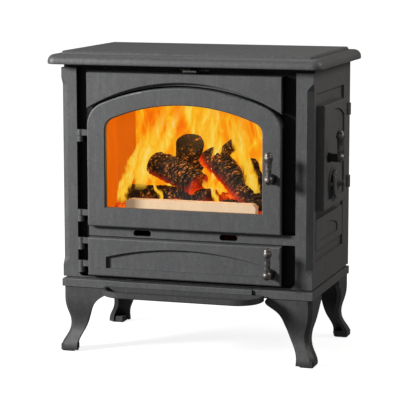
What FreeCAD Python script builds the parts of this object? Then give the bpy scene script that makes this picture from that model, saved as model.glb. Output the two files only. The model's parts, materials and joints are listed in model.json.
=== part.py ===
"""Free-standing cast-iron wood burning stove, millimetres, +Z up, front towards -Y.

The stove is drawn about its own middle: X across from the centre line, Y back from the
face of the corner stiles, Z up from the floor.  The last step shifts every sub-part so
that the origin is the middle of the whole object's footprint on the floor.
"""
import FreeCAD
import Part
import math
import os
import Sketcher
from FreeCAD import Rotation, Vector

DRIVING_SIZES = {
    # main casing
    "body_width": 612.0, "body_depth": 363.0, "body_bottom": 182.0, "body_top": 690.0,
    "wall": 12.0, "frame_depth": 26.0, "recess_depth": 18.0, "stile_width": 38.0,
    "stile_gap": 9.0, "corner_chamfer": 16.0, "chamfer_low": 227.0, "chamfer_high": 640.0,
    "chamfer_side": 10.0, "chamfer_fade": 20.0,
    # top plate
    "slab_side": 27.0, "slab_front": 37.0, "slab_back": 19.0, "slab_thick": 23.0,
    "slab_round": 17.0, "slab_corner": 24.0, "field_rise": 7.0, "field_margin": 28.0,
    # base and legs
    "band_height": 19.0, "band_proud": 2.0, "band_front": 3.0, "bar_half": 165.0, "bar_proud": 6.0,
    "leg_height": 158.0, "leg_wall": 11.0, "foot_height": 16.0, "foot_width": 36.0,
    "bracket_width": 106.0, "bracket_depth": 90.0, "leg_chamfer": 9.0,
    "leg_bolt_inset": 44.0, "leg_flange": 8.0,
    # ash lip
    "lip_half": 195.0, "lip_reach": 72.0, "lip_corner": 60.0, "lip_rim": 14.0, "lip_wall": 7.0,
    "lip_top": 165.0, "lip_floor": 4.0,
    # front doors
    "door_gap": 31.5, "door_proud": 18.0, "door_plate": 13.0, "door_skirt": 9.0,
    "door_bottom": 309.0, "door_apex": 641.0, "door_arch": 520.0, "door_shoulder": 58.0,
    "door_edge": 4.0, "window_margin": 45.5, "window_bottom": 355.0, "window_apex": 600.0,
    "window_arch": 448.0, "window_shoulder": 28.0, "glass_margin": 13.0, "glass_thick": 4.0,
    "seal_width": 8.0, "seal_gap": 0.3, "ash_bottom": 190.0, "ash_top": 282.0,
    "panel_sink": 8.0, "panel_bottom": 210.0, "panel_side": 237.0, "panel_apex": 262.0,
    # arched hood and the bar between the doors
    "hood_top": 672.0, "hood_apex": 652.0, "hood_arch": 465.0, "hood_step": 13.0,
    "hood_lip_gap": 4.0, "strip_bottom": 284.0, "strip_top": 307.0, "strip_face": 0.0,
    "slot_offset": 106.0, "slot_length": 43.5, "slot_height": 14.0,
    # openings in the casing
    "fire_margin": 31.5, "fire_bottom": 322.0, "fire_apex": 616.0, "fire_arch": 495.0,
    "fire_shoulder": 26.0, "ash_opening_bottom": 200.0,
    "ash_opening_top": 272.0, "notch_reach": 12.5,
    # hinges
    "hinge_gap": 19.1, "hinge_y": 10.0, "knuckle": 7.75, "pin_radius": 3.0, "pin_clearance": 0.06,
    "knuckle_gap": 0.6, "hinge_high": 523.0, "hinge_low": 333.0, "ash_hinge_high": 266.0,
    "ash_hinge_low": 211.0, "lug_height": 14.0,
    # handles
    "handle_inset": 22.5, "handle_z": 439.0, "ash_handle_inset": 24.5, "ash_handle_z": 219.0,
    "side_handle_y": 65.0, "side_handle_z": 483.0, "grip_stand": 28.0, "grip_bar": 7.8,
    "grip_knob": 9.0, "grip_ball": 10.5, "grip_rise": 65.0, "grip_waist": 1.2, "neck_radius": 9.5,
    "spindle_radius": 5.0, "cam_reach": 9.0, "cam_thick": 6.0, "nut_across": 8.0,
    # right side
    "side_recess": 6.0, "side_border_front": 31.0, "side_border_margin": 65.0,
    "side_border_bottom": 242.0, "side_border_top": 632.0, "side_door_front": 30.0,
    "side_door_margin": 53.0, "side_door_bottom": 362.0, "side_door_top": 605.0,
    "side_door_proud": 20.0, "side_hinge_gap": 10.0, "side_panel_front": 55.0,
    "side_panel_margin": 24.0, "side_panel_bottom": 383.0, "side_panel_side": 570.0,
    "side_panel_apex": 590.0, "side_panel_sink": 4.0, "side_hole_front": 53.0,
    "side_hole_margin": 23.0, "side_hole_bottom": 380.0, "side_hole_top": 588.0,
    "side_hinge_high": 578.0, "side_hinge_low": 404.0,
    "raised_front": 36.0, "raised_margin": 71.0, "raised_bottom": 268.0, "raised_top": 340.0,
    "motif_front": 70.0, "motif_margin": 47.0, "motif_bottom": 285.0,
    "motif_side": 304.0, "motif_apex": 319.0, "motif_sink": 3.0,
    # air controls
    "disc_y": 120.0, "disc_z": 417.0, "disc_radius": 35.0, "disc_seat": 39.0, "disc_gap": 6.0,
    "disc_thick": 5.0, "disc_knob": 6.5, "disc_knob_length": 16.0, "air_hole": 6.0,
    "air_hole_circle": 20.0, "lever_x": 15.0, "lever_width": 32.0, "lever_z": 679.0,
    "lever_thick": 4.0, "lever_travel": 30.0, "slide_half": 110.0,
    # inside
    "hearth_z": 305.0, "hearth_thick": 6.0, "grate_half": 110.0, "grate_depth": 170.0,
    "brick_thick": 25.0, "brick_height": 288.0, "rear_brick_height": 190.0,
    "retainer_half": 160.0, "retainer_top": 369.0, "retainer_thick": 24.0,
    "baffle_z": 632.0, "baffle_thick": 6.0, "baffle_depth": 200.0, "baffle_front": 40.0,
    "pan_half": 180.0, "pan_gap": 31.0, "pan_height": 62.0, "pan_wall": 2.0,
    "rod_radius": 3.0, "rod_inset": 24.0,
    # flue outlet
    "flue_radius": 75.0, "flue_wall": 6.0, "flue_length": 55.0, "flue_z": 580.0,
    "flange_radius": 98.0, "flange_thick": 7.0, "flue_bolt_circle": 88.0,
    # shift of the drawing to the middle of the footprint, worked out below
    "origin_x": 0.0, "origin_y": 0.0,
}


class Size:
    """A length that knows both its value and the spreadsheet formula that gives it."""

    def __init__(self, value, text=None):
        self.value = float(value)
        self.text = text or repr(float(value))

    def _join(self, other, sign, value, swap=False):
        other = size_of(other)
        left, right = (other, self) if swap else (self, other)
        return Size(value(left.value, right.value), f"({left.text} {sign} {right.text})")

    def __add__(self, other):
        return self._join(other, "+", lambda a, b: a + b)

    def __radd__(self, other):
        return self._join(other, "+", lambda a, b: a + b, True)

    def __sub__(self, other):
        return self._join(other, "-", lambda a, b: a - b)

    def __rsub__(self, other):
        return self._join(other, "-", lambda a, b: a - b, True)

    def __mul__(self, other):
        return self._join(other, "*", lambda a, b: a * b)

    def __rmul__(self, other):
        return self._join(other, "*", lambda a, b: a * b, True)

    def __truediv__(self, other):
        return self._join(other, "/", lambda a, b: a / b)

    def __neg__(self):
        return 0 - self

    def root(self):
        return Size(math.sqrt(self.value), f"sqrt({self.text})")


def size_of(value):
    return value if isinstance(value, Size) else Size(value)


class Sheet:
    """The spreadsheet of driving sizes; each is read as an attribute."""

    def __init__(self, document, sizes):
        self.sheet = document.addObject("Spreadsheet::Sheet", "Sizes")
        self.cells = {}
        for row, (name, value) in enumerate(sizes.items(), start=1):
            self.sheet.set(f"A{row}", name)
            self.sheet.set(f"B{row}", str(value))
            self.sheet.setAlias(f"B{row}", name)
            self.cells[name] = Size(value, f"Sizes.{name}")

    def __getattr__(self, name):
        return self.cells[name]

    def change(self, name, value):
        self.sheet.set(name, str(value))


doc = FreeCAD.newDocument("WoodStove")
d = Sheet(doc, DRIVING_SIZES)
doc.recompute()
nodes = {}


def bind(thing, sizes):
    """Bind properties of an object to formulas on the sheet."""
    for path, size in sizes.items():
        thing.setExpression(path, size_of(size).text)
    return thing


def block(x_span, y_span, z_span):
    """A box from low to high along each axis."""
    return bind(doc.addObject("Part::Box", "Block"), {
        "Length": x_span[1] - x_span[0], "Width": y_span[1] - y_span[0],
        "Height": z_span[1] - z_span[0], "Placement.Base.x": x_span[0],
        "Placement.Base.y": y_span[0], "Placement.Base.z": z_span[0]})


TURN_TO = {"x": Rotation(Vector(0, 1, 0), 90), "y": Rotation(Vector(1, 0, 0), -90),
           "z": Rotation(), "-y": Rotation(Vector(1, 0, 0), 90)}


def place(thing, axis, at):
    """Turn an object's own Z to an axis and put its base at a point."""
    thing.Placement.Rotation = TURN_TO[axis]
    return bind(thing, {"Placement.Base.x": at[0], "Placement.Base.y": at[1],
                        "Placement.Base.z": at[2]})


def rod(axis, at, radius, length):
    """A cylinder that starts at a point and runs along an axis."""
    thing = bind(doc.addObject("Part::Cylinder", "Rod"), {"Radius": radius, "Height": length})
    return place(thing, axis, at)


def hexagon(axis, at, across, length):
    """A hexagon head or nut; across is the radius to a corner."""
    thing = doc.addObject("Part::Prism", "Hexagon")
    thing.Polygon = 6
    return place(bind(thing, {"Circumradius": across, "Height": length}), axis, at)


def fuse(*solids):
    whole = doc.addObject("Part::MultiFuse", "Fuse")
    whole.Shapes = list(solids)
    return whole


def cut(base, *tools):
    """Take one or more tools away from a base."""
    rest = doc.addObject("Part::Cut", "Cut")
    rest.Base = base
    rest.Tool = tools[0] if len(tools) == 1 else fuse(*tools)
    return rest


def group(*solids):
    """Separate solids that share one node."""
    whole = doc.addObject("Part::Compound", "Group")
    whole.Links = list(solids)
    return whole


def soften(solid, kind, radius, wanted):
    """Round or bevel the edges that a test picks; kind is Fillet or Chamfer."""
    doc.recompute()
    softened = doc.addObject(f"Part::{kind}", kind)
    softened.Base = solid
    reach = size_of(radius).value
    softened.Edges = [(number, reach, reach)
                      for number, edge in enumerate(solid.Shape.Edges, start=1) if wanted(edge)]
    return softened


def at_plane(axis, size, tolerance=0.01):
    """Test for edges that lie wholly in a plane across an axis."""
    level = size_of(size).value

    def test(edge):
        box = edge.BoundBox
        low, high = {"x": (box.XMin, box.XMax), "y": (box.YMin, box.YMax),
                     "z": (box.ZMin, box.ZMax)}[axis]
        return abs(low - level) < tolerance and abs(high - level) < tolerance
    return test


PLANES = {"floor": ("XY_Plane", 1), "front": ("XZ_Plane", -1), "side": ("YZ_Plane", 1)}


def arc_through(start, end, radius):
    """An arc of a radius; a positive radius bulges to the left of start to end."""
    chord = end - start
    half = chord.Length / 2
    rise = abs(radius) - math.sqrt(radius * radius - half * half)
    left = Vector(-chord.y, chord.x, 0).normalize()
    middle = (start + end) * 0.5 + left * math.copysign(rise, radius)
    return Part.Arc(start, middle, end)


def sketch_outline(body, plane, outline, level):
    """Draw a closed outline: points (u, v), or (u, v, radius) for an arc that arrives there."""
    sketch = body.newObject("Sketcher::SketchObject", "Outline")
    role, turn = PLANES[plane]
    sketch.AttachmentSupport = [(feature, "") for feature in body.Origin.OriginFeatures
                                if feature.Role == role]
    sketch.MapMode = "FlatFace"
    bind(sketch, {"AttachmentOffset.Base.z": turn * size_of(level)})
    corners = [Vector(size_of(point[0]).value, size_of(point[1]).value, 0) for point in outline]
    starts, ends = [], []
    for number, point in enumerate(outline):
        here, before = corners[number], corners[number - 1]
        if len(point) == 3:
            radius = size_of(point[2]).value
            sketch.addGeometry(arc_through(before, here, radius))
            forward = (sketch.getPoint(number, 1) - before).Length < 1e-6
            starts.append(1 if forward else 2)
            ends.append(2 if forward else 1)
        else:
            sketch.addGeometry(Part.LineSegment(before, here))
            starts.append(1)
            ends.append(2)
    for number, point in enumerate(outline):
        after = (number + 1) % len(outline)
        sketch.addConstraint(Sketcher.Constraint("Coincident", number, ends[number],
                                                 after, starts[after]))
        for kind, size in (("DistanceX", point[0]), ("DistanceY", point[1])):
            name = sketch.addConstraint(Sketcher.Constraint(kind, number, ends[number],
                                                            size_of(size).value))
            sketch.setExpression(f"Constraints[{name}]", size_of(size).text)
        if len(point) == 3:
            bend = size_of(point[2])
            name = sketch.addConstraint(Sketcher.Constraint("Radius", number, abs(bend.value)))
            text = bend.text if bend.value > 0 else (-bend).text
            sketch.setExpression(f"Constraints[{name}]", text)
    return sketch


def plate(plane, outline, span):
    """A padded outline; span is the low and high level across its plane."""
    body = doc.addObject("PartDesign::Body", "Plate")
    level = span[1] if plane == "front" else span[0]
    sketch = sketch_outline(body, plane, outline, level)
    pad = body.newObject("PartDesign::Pad", "Pad")
    pad.Profile = sketch
    bind(pad, {"Length": span[1] - span[0]})
    return body


def turned(axis, at, outline):
    """A lathe-turned piece; the outline holds (radius, height along the axis)."""
    body = doc.addObject("PartDesign::Body", "Turned")
    sketch = sketch_outline(body, "front", outline, 0)
    turn = body.newObject("PartDesign::Revolution", "Revolution")
    turn.Profile = sketch
    turn.ReferenceAxis = (sketch, ["V_Axis"])
    return place(body, axis, at)


def node(label, solid):
    """Name a finished sub-part; its placement then carries the shift to the origin."""
    placed = any("Placement" in path for path, _ in solid.ExpressionEngine)
    whole = group(solid) if placed else solid
    whole.Label = label
    nodes[label] = whole


def rectangle(low_u, high_u, low_v, high_v):
    return [(low_u, low_v), (high_u, low_v), (high_u, high_v), (low_u, high_v)]


def rounded(low_u, high_u, low_v, high_v, radius):
    """A rectangle with four round corners."""
    return [(low_u + radius, low_v, -radius), (high_u - radius, low_v),
            (high_u, low_v + radius, -radius), (high_u, high_v - radius),
            (high_u - radius, high_v, -radius), (low_u + radius, high_v),
            (low_u, high_v - radius, -radius), (low_u, low_v + radius)]


def bowed(low_u, high_u, low_v, side_v, apex_v):
    """A rectangle whose top edge is one shallow arc."""
    half, rise = (high_u - low_u) / 2, apex_v - side_v
    radius = (half * half + rise * rise) / (2 * rise)
    return [(low_u, low_v), (high_u, low_v), (high_u, side_v), (low_u, side_v, -radius)]


def arched(half, bottom, apex, arch, shoulder):
    """A door outline: straight sides, round shoulders and a wide arch between them."""
    inner, reach = half - shoulder, arch - shoulder
    rise = (reach * reach - inner * inner).root()
    centre = apex - arch
    shoulder_z = centre + rise
    join_x, join_z = inner * arch / reach, centre + rise * arch / reach
    return [(-half, bottom), (half, bottom), (half, shoulder_z), (join_x, join_z, -shoulder),
            (-join_x, join_z, -arch), (-half, shoulder_z, -shoulder)]


def grown(sizes, margin):
    """The same arched outline, larger all round by a margin."""
    half, bottom, apex, arch, shoulder = sizes
    return arched(half + margin, bottom - margin, apex + margin, arch + margin, shoulder + margin)


# Levels and faces that many sub-parts share.
half_width = d.body_width / 2
band_top = d.leg_height + d.band_height
door_face = -d.door_proud
door_half = half_width - d.stile_width - d.door_gap
window_half = door_half - d.window_margin
fire_half = door_half - d.fire_margin
hinge_x = door_half + d.hinge_gap
handle_x = door_half - d.handle_inset
ash_handle_x = door_half - d.ash_handle_inset
side_border_back = d.body_depth - d.side_border_margin
side_door_back = side_border_back - d.side_door_margin
side_hinge_y = side_door_back + d.side_hinge_gap
side_hole_back = side_door_back - d.side_hole_margin
side_panel_back = side_door_back - d.side_panel_margin
raised_back = d.body_depth - d.raised_margin
motif_back = raised_back - d.motif_margin
plate_back = door_face + d.door_plate
skirt_back = d.recess_depth - d.seal_width - d.seal_gap
DOOR = (door_half, d.door_bottom, d.door_apex, d.door_arch, d.door_shoulder)
WINDOW = (window_half, d.window_bottom, d.window_apex, d.window_arch, d.window_shoulder)
casing_inner = half_width - d.wall
back_front = d.body_depth - d.wall
pan_front = d.frame_depth + 14
pan_depth = back_front - pan_front - d.pan_gap


def base_frame():
    """The plinth band, its floor plate and the low spigot that the casing stands on."""
    side, front, back = half_width + d.band_proud, -d.band_front, d.body_depth + d.band_proud
    band = block((-side, side), (front, back), (d.leg_height, band_top))
    bar = block((-d.bar_half, d.bar_half), (front - d.bar_proud, 40), (d.leg_height, band_top))
    spigot = block((-half_width + 6, half_width - 6), (6, d.body_depth - 6),
                   (band_top - 1, d.body_bottom))
    under = block((-half_width + 14, half_width - 14), (14, d.body_depth - 14),
                  (d.leg_height - 1, band_top - 8))
    holes = [rod("z", (x, y, d.leg_height), d.rod_radius + 0.5, 60) for x, y in rod_places()]
    holes += [rod("z", (x, y, d.leg_height), 4.5, 60) for x, y in leg_bolt_places()]
    node("base_frame", cut(soften(fuse(band, bar, spigot), "Fillet", 2, at_plane("z", band_top)),
                           under, *holes))


def rod_places():
    """Where the four tie rods stand, just inside the corners of the casing."""
    return [(way * (casing_inner - d.rod_inset / 2), y) for way in (-1, 1)
            for y in (d.frame_depth + d.rod_inset / 2, back_front - d.rod_inset / 2)]


def leg_bolt_places():
    return [(way * (half_width - d.leg_bolt_inset), y) for way in (-1, 1)
            for y in (d.leg_bolt_inset, d.body_depth - d.leg_bolt_inset)]


LEG_SECTIONS = [  # height, outer face, inner edge across the front, inner edge along the side
    (0.02, -7, 36, 34), (0.10, -7, 35, 33), (0.20, 0, 38, 35), (0.36, 10, 50, 45),
    (0.54, 8, 61, 54), (0.70, 1.5, 71, 63), (0.80, 0, 84, 74), (0.89, 0, 106, 90),
    (1.0, 0, 106, 90)]


def leg_shape(wall, solid_foot, chamfer):
    """A hollow cabriole leg, corner outwards at the origin, arms along +X and +Y."""
    height, wide, deep = d.leg_height.value, d.bracket_width.value, d.bracket_depth.value
    rings = []
    for share, inset, reach_x, reach_y in LEG_SECTIONS:
        reach_x = reach_x * wide / 106
        reach_y = reach_y * deep / 90
        corner = [(inset + chamfer, inset), (reach_x, inset), (reach_x, inset + wall),
                  (inset + wall + 2, inset + wall), (inset + wall, inset + wall + 2),
                  (inset + wall, reach_y), (inset, reach_y), (inset, inset + chamfer)]
        points = [Vector(x, y, share * height) for x, y in corner]
        rings.append(Part.makePolygon(points + points[:1]))
    shank = Part.makeLoft(rings, True, False)
    foot = Part.makeBox(solid_foot, solid_foot, d.foot_height.value, Vector(-7, -7, 0))
    foot = foot.makeChamfer(4, [edge for edge in foot.Edges if edge.BoundBox.ZLength > 1])
    foot = foot.makeChamfer(3, [edge for edge in foot.Edges if edge.BoundBox.ZMax < 0.1])
    inset, thick = d.leg_bolt_inset.value, d.leg_flange.value
    flange = Part.makeBox(inset + 14, inset + 14, thick, Vector(4, 4, height - thick))
    hole = Part.makeCylinder(4.5, thick + 2, Vector(inset, inset, height - thick - 1))
    return shank.fuse([foot, flange]).cut(hole).removeSplitter()


def legs():
    """Four legs, each turned or mirrored to its own corner under the band."""
    shape = leg_shape(d.leg_wall.value, d.foot_width.value, d.leg_chamfer.value)
    side = half_width.value
    back = d.body_depth.value
    corners = {"leg_front_left": (-side, 0, 1, 1), "leg_front_right": (side, 0, -1, 1),
               "leg_rear_left": (-side, back, 1, -1), "leg_rear_right": (side, back, -1, -1)}
    for label, (x, y, way_x, way_y) in corners.items():
        turned_leg = shape.copy()
        if way_x < 0:
            turned_leg = turned_leg.mirror(Vector(), Vector(1, 0, 0))
        if way_y < 0:
            turned_leg = turned_leg.mirror(Vector(), Vector(0, 1, 0))
        turned_leg.translate(Vector(x, y, 0))
        leg = doc.addObject("Part::Feature", label)
        leg.Shape = turned_leg
        node(label, group(leg))


def leg_bolts():
    """Hexagon bolts that clamp each leg bracket up to the band."""
    low = d.leg_height - d.leg_flange
    node("leg_bolts", group(*[fuse(hexagon("z", (x, y, low - 6), 7.5, 6),
                                   rod("z", (x, y, low - 1), 4, 24))
                              for x, y in leg_bolt_places()]))


def ash_lip():
    """The shallow tray that catches ash in front of the base."""
    front = -d.band_front - d.bar_proud
    top, low = d.lip_top, d.lip_top - d.lip_rim
    half, reach, corner = d.lip_half, d.lip_reach, d.lip_corner
    outline = [(-half, front), (-half, front - reach + corner),
               (-half + corner, front - reach, -corner), (half - corner, front - reach),
               (half, front - reach + corner, -corner), (half, front)]
    wall = d.lip_wall
    inside = [(-half + wall, front - wall), (-half + wall, front - reach + corner),
              (-half + corner, front - reach + wall, wall - corner),
              (half - corner, front - reach + wall),
              (half - wall, front - reach + corner, wall - corner),
              (half - wall, front - wall)]
    tray = plate("floor", list(reversed_outline(outline)), (low, top))
    hollow = plate("floor", list(reversed_outline(inside)), (low + d.lip_floor, top + 1))
    flange = block((-d.bar_half + 5, d.bar_half - 5), (front - 0.01, front + 60),
                   (d.leg_height - 5, d.leg_height - 0.1))
    node("ash_lip", cut(soften(fuse(tray, flange), "Fillet", 3, outer_rim(low, front - 1)), hollow))


def reversed_outline(outline):
    """The same outline run the other way, arcs kept on their own corners."""
    ends = [point[:2] for point in outline]
    count = len(outline)
    for number in range(count - 1, -1, -1):
        after = outline[(number + 1) % count]
        arc = (-after[2],) if len(after) == 3 else ()
        yield ends[number] + arc


def outer_rim(level, front):
    """Edges in a horizontal plane that lie in front of a line."""
    in_plane = at_plane("z", level)
    limit = size_of(front).value
    return lambda edge: in_plane(edge) and edge.BoundBox.YMin < limit


def ash_lip_screws():
    screws = []
    for way in (-1, 1):
        at = (way * (d.bar_half - 40), 30, d.leg_height - 5 - 5)
        screws.append(hexagon("z", at, 7, 5))
    node("ash_lip_screws", group(*screws))


def front_frame():
    """The front casting: corner stiles, a sunk face and the openings for both doors."""
    inner = half_width - d.stile_width
    stile_top = d.body_top - d.stile_gap
    slab = block((-half_width, half_width), (0, d.frame_depth), (d.body_bottom, d.body_top))
    top_gap = block((-half_width - 1, half_width + 1), (-1, d.recess_depth),
                    (stile_top, d.body_top + 1))
    pocket = plate("front", rounded(-inner, inner - 2, d.ash_bottom - 6, d.hood_top + 40, 16),
                   (-1, d.recess_depth))
    fire = plate("front", arched(fire_half, d.fire_bottom, d.fire_apex, d.fire_arch,
                                 d.fire_shoulder), (-2, d.frame_depth + 1))
    ash = block((-fire_half, fire_half), (-2, d.frame_depth + 1),
                (d.ash_opening_bottom, d.ash_opening_top))
    notches = [
        block((fire_half - 1, x + d.notch_reach), (-2, d.frame_depth + 1), (z - 15, z + 15))
        for x, z in ((handle_x, d.handle_z), (ash_handle_x, d.ash_handle_z))]
    lever_way = block((d.lever_x - d.lever_travel - 8, d.lever_x + d.lever_travel + 8),
                      (-2, d.frame_depth + 1), (d.lever_z - 3, d.lever_z + 3))
    strip = block((-door_half - 3, inner + 1), (d.strip_face, d.frame_depth),
                  (d.strip_bottom, d.strip_top))
    slot_z, tall = (d.strip_bottom + d.strip_top) / 2 - 1, d.slot_height / 2
    slots = [plate("front", rounded(x - d.slot_length / 2, x + d.slot_length / 2,
                                    slot_z - tall, slot_z + tall, d.slot_height * 0.48),
                   (-3, d.frame_depth + 1))
             for x in (-d.slot_offset, d.slot_offset)]
    frame = fuse(cut(slab, top_gap, pocket, fire, ash, lever_way, *notches), strip)
    frame = cut(frame, *slots)
    frame = corner_bevels(frame)
    lugs = [knuckle((-hinge_x, -d.hinge_y), z, d.recess_depth)
            for z in (d.hinge_high, d.hinge_low, d.ash_hinge_high, d.ash_hinge_low)]
    bores = [rod("z", (-hinge_x, -d.hinge_y, z - 30), d.pin_radius + d.pin_clearance, 30)
             for z in (d.hinge_high, d.hinge_low, d.ash_hinge_high, d.ash_hinge_low)]
    node("front_frame", cut(fuse(frame, *lugs), *bores))


BEVEL_END = [(1.0, 0.08), (0.7, 0.3), (0.35, 0.72), (0.0, 1.0)]  # share of the fade, of the size


def corner_bevels(frame):
    """Bevels down both outer corners of the stiles, which fade out at each end."""
    low, high, fade = d.chamfer_low.value, d.chamfer_high.value, d.chamfer_fade.value
    wide, deep, edge = d.corner_chamfer.value, d.chamfer_side.value, half_width.value
    ends = [(low - share * fade, size) for share, size in BEVEL_END]
    ends += [(high + share * fade, size) for share, size in reversed(BEVEL_END)]
    tools = []
    for way in (-1, 1):
        rings = []
        for z, size in ends:
            outer = edge + 1
            corners = [(outer - (wide + 1) * size, -1), (outer, -1), (outer, (deep + 1) * size - 1)]
            points = [Vector(way * x, y, z) for x, y in corners]
            rings.append(Part.makePolygon(points + points[:1]))
        bevel = doc.addObject("Part::Feature", "Bevel")
        bevel.Shape = Part.makeLoft(rings, True, True)
        tools.append(bevel)
    return cut(frame, *tools)


def knuckle(axis, level, reach):
    """A frame lug below the split of a hinge, with an arm back to the sunk face."""
    x, y = axis
    top = level - d.knuckle_gap / 2
    bottom = top - d.lug_height
    barrel = rod("z", (x, y, bottom), d.knuckle, d.lug_height)
    arm = block((x - 4, x + 4), (y, reach + 1), (bottom, top))
    return fuse(barrel, arm)


def arch_hood():
    """The spandrel panel over the door, with a stepped lower lip."""
    half, face = door_half, door_face
    side_z = d.hood_apex - d.hood_arch + (d.hood_arch * d.hood_arch - half * half).root()
    outline = [(-half, side_z), (half, side_z, d.hood_arch), (half, d.hood_top),
               (-half, d.hood_top)]
    panel = plate("front", outline, (face, d.recess_depth))
    lip_apex, lip_arch = d.door_apex + d.hood_lip_gap, d.door_arch + d.hood_lip_gap
    lip_half = half - 12
    lip_z = lip_apex - lip_arch + (lip_arch * lip_arch - lip_half * lip_half).root()
    lip = plate("front", [(-lip_half, lip_z), (lip_half, lip_z, lip_arch),
                          (lip_half, d.hood_apex + 6), (-lip_half, d.hood_apex + 6)],
                (face + d.hood_step, d.recess_depth - 0.2))
    node("arch_hood", soften(fuse(panel, lip), "Chamfer", 1.5, at_plane("y", face)))


def hood_screws():
    heads = [hexagon("y", (way * (door_half - 60), d.frame_depth, d.hood_top - 26), 6.5, 5)
             for way in (-1, 1)]
    node("hood_screws", group(*heads))


def side_wall(low, high):
    """A blank side plate of the casing between the front frame and the back."""
    return block((low, high), (d.frame_depth, d.body_depth), (d.body_bottom, d.body_top))


def left_side_panel():
    outer = -half_width
    wall = side_wall(outer, outer + d.wall)
    border = block((outer - 1, outer + 3), (d.side_border_front, side_border_back),
                   (d.side_border_bottom, d.side_border_top))
    field = block((outer, outer + 4), (d.raised_front + 4, side_border_back - 9),
                  (d.side_border_bottom + 9, d.side_border_top - 9))
    sunk = plate("side", bowed(d.side_panel_front, side_border_back - 30,
                               d.side_border_bottom + 30, d.side_panel_side, d.side_panel_apex),
                 (outer - 1, outer + 3))
    panel = fuse(cut(wall, border), cut(field, sunk))
    node("left_side_panel", panel)


def right_side_panel():
    """The side plate with a sunk border, the loading opening and a raised lower panel."""
    outer = half_width
    wall = side_wall(outer - d.wall, outer)
    border = block((outer - d.side_recess, outer + 1), (d.side_border_front, side_border_back),
                   (d.side_border_bottom, d.side_border_top))
    opening = plate("side", rounded(d.side_hole_front, side_hole_back, d.side_hole_bottom,
                                    d.side_hole_top, 16), (outer - 30, outer + 30))
    raised = block((outer - d.side_recess - 1, outer), (d.raised_front, raised_back),
                   (d.raised_bottom, d.raised_top))
    motif = plate("side", bowed(d.motif_front, motif_back, d.motif_bottom, d.motif_side,
                                d.motif_apex), (outer - d.motif_sink, outer + 1))
    axis = (outer + d.side_door_proud, side_hinge_y)
    bar = fuse(cut(wall, border, opening), cut(raised, motif))
    lugs, bores = [], []
    for z in (d.side_hinge_high, d.side_hinge_low):
        top = z - d.knuckle_gap / 2
        lugs.append(rod("z", (axis[0], axis[1], top - d.lug_height), d.knuckle, d.lug_height))
        lugs.append(block((outer - d.side_recess - 1, axis[0]), (axis[1], axis[1] + 7),
                          (top - d.lug_height, top)))
        bores.append(rod("z", (axis[0], axis[1], z - 30), d.pin_radius + d.pin_clearance, 30))
    node("right_side_panel", cut(fuse(bar, *lugs), *bores))


def back_panel():
    plain = block((-casing_inner, casing_inner), (back_front, d.body_depth),
                  (d.body_bottom, d.body_top))
    hole = rod("y", (0, back_front - 1, d.flue_z), d.flue_radius, d.wall + 2)
    node("back_panel", cut(plain, hole))


def top_plate():
    """The thick moulded top with its raised flat field."""
    side, front = half_width + d.slab_side, -d.slab_front
    back = d.body_depth + d.slab_back
    slab = plate("floor", rounded(-side, side, front, back, d.slab_corner),
                 (d.body_top, d.body_top + d.slab_thick))
    slab = soften(slab, "Fillet", d.slab_round, at_plane("z", d.body_top + d.slab_thick))
    slab = soften(slab, "Fillet", 3, at_plane("z", d.body_top))
    inset = d.field_margin
    field = plate("floor", rounded(-side + inset, side - inset, front + inset + 6, back - inset - 4,
                                   6), (d.body_top + d.slab_thick - 1,
                                        d.body_top + d.slab_thick + d.field_rise))
    top = d.body_top + d.slab_thick + d.field_rise
    field = soften(field, "Chamfer", 3.5, at_plane("z", top))
    node("top_plate", fuse(slab, field))


def inside_parts():
    """Hearth plate, grate, lining boards, log retainer and baffle."""
    inner = casing_inner - 0.5
    top = d.hearth_z + d.hearth_thick
    front, back = d.frame_depth + 1, back_front - 0.5
    middle = (front + back) / 2 + 20
    plain = block((-inner, inner), (front, back), (d.hearth_z, top))
    hole = block((-d.grate_half - 2, d.grate_half + 2),
                 (middle - d.grate_depth / 2 - 2, middle + d.grate_depth / 2 + 2),
                 (d.hearth_z - 1, top + 1))
    rod_holes = [rod("z", (x, y, d.hearth_z - 1), d.rod_radius + 0.5, d.hearth_thick + 2)
                 for x, y in rod_places()]
    node("hearth_plate", cut(plain, hole, *rod_holes))
    ring = block((-d.grate_half, d.grate_half),
                 (middle - d.grate_depth / 2, middle + d.grate_depth / 2), (d.hearth_z, top))
    slot_half = d.grate_half / 18
    slots = [block((x - slot_half, x + slot_half),
                   (middle - d.grate_depth / 2 + 12, middle + d.grate_depth / 2 - 12),
                   (d.hearth_z - 1, top + 1))
             for x in (d.grate_half * share for share in (-0.75, -0.5, -0.25, 0, 0.25, 0.5, 0.75))]
    node("fire_grate", cut(ring, *slots))
    high = top + d.brick_height
    rear_front = back - d.brick_thick
    side = inner - d.rod_inset
    node("brick_rear", block((-side, side), (rear_front, back),
                             (top, top + d.rear_brick_height)))
    node("brick_left", block((-inner, -inner + d.brick_thick), (front + 32, rear_front - 0.5),
                             (top, high)))
    node("brick_right", block((inner - d.brick_thick, inner), (front + 32, rear_front - 0.5),
                              (top, d.side_hole_bottom - 4)))
    bar = plate("front", rounded(-d.retainer_half, d.retainer_half, top, d.retainer_top, 12),
                (front + 10, front + 10 + d.retainer_thick))
    node("log_retainer", bar)
    baffle_front = front + d.baffle_front
    node("baffle_plate", block((-inner, inner), (baffle_front, baffle_front + d.baffle_depth),
                               (d.baffle_z, d.baffle_z + d.baffle_thick)))


def ash_pan():
    low = d.body_bottom + 0.5
    half, front = d.pan_half, pan_front
    outer = block((-half, half), (front, front + pan_depth), (low, low + d.pan_height))
    hollow = block((-half + d.pan_wall, half - d.pan_wall),
                   (front + d.pan_wall, front + pan_depth - d.pan_wall),
                   (low + d.pan_wall, low + d.pan_height + 1))
    pull = block((-45, 45), (front - 7, front + 1), (low + d.pan_height - 12,
                                                    low + d.pan_height - 8))
    node("ash_pan", fuse(cut(outer, hollow), pull))


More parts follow.
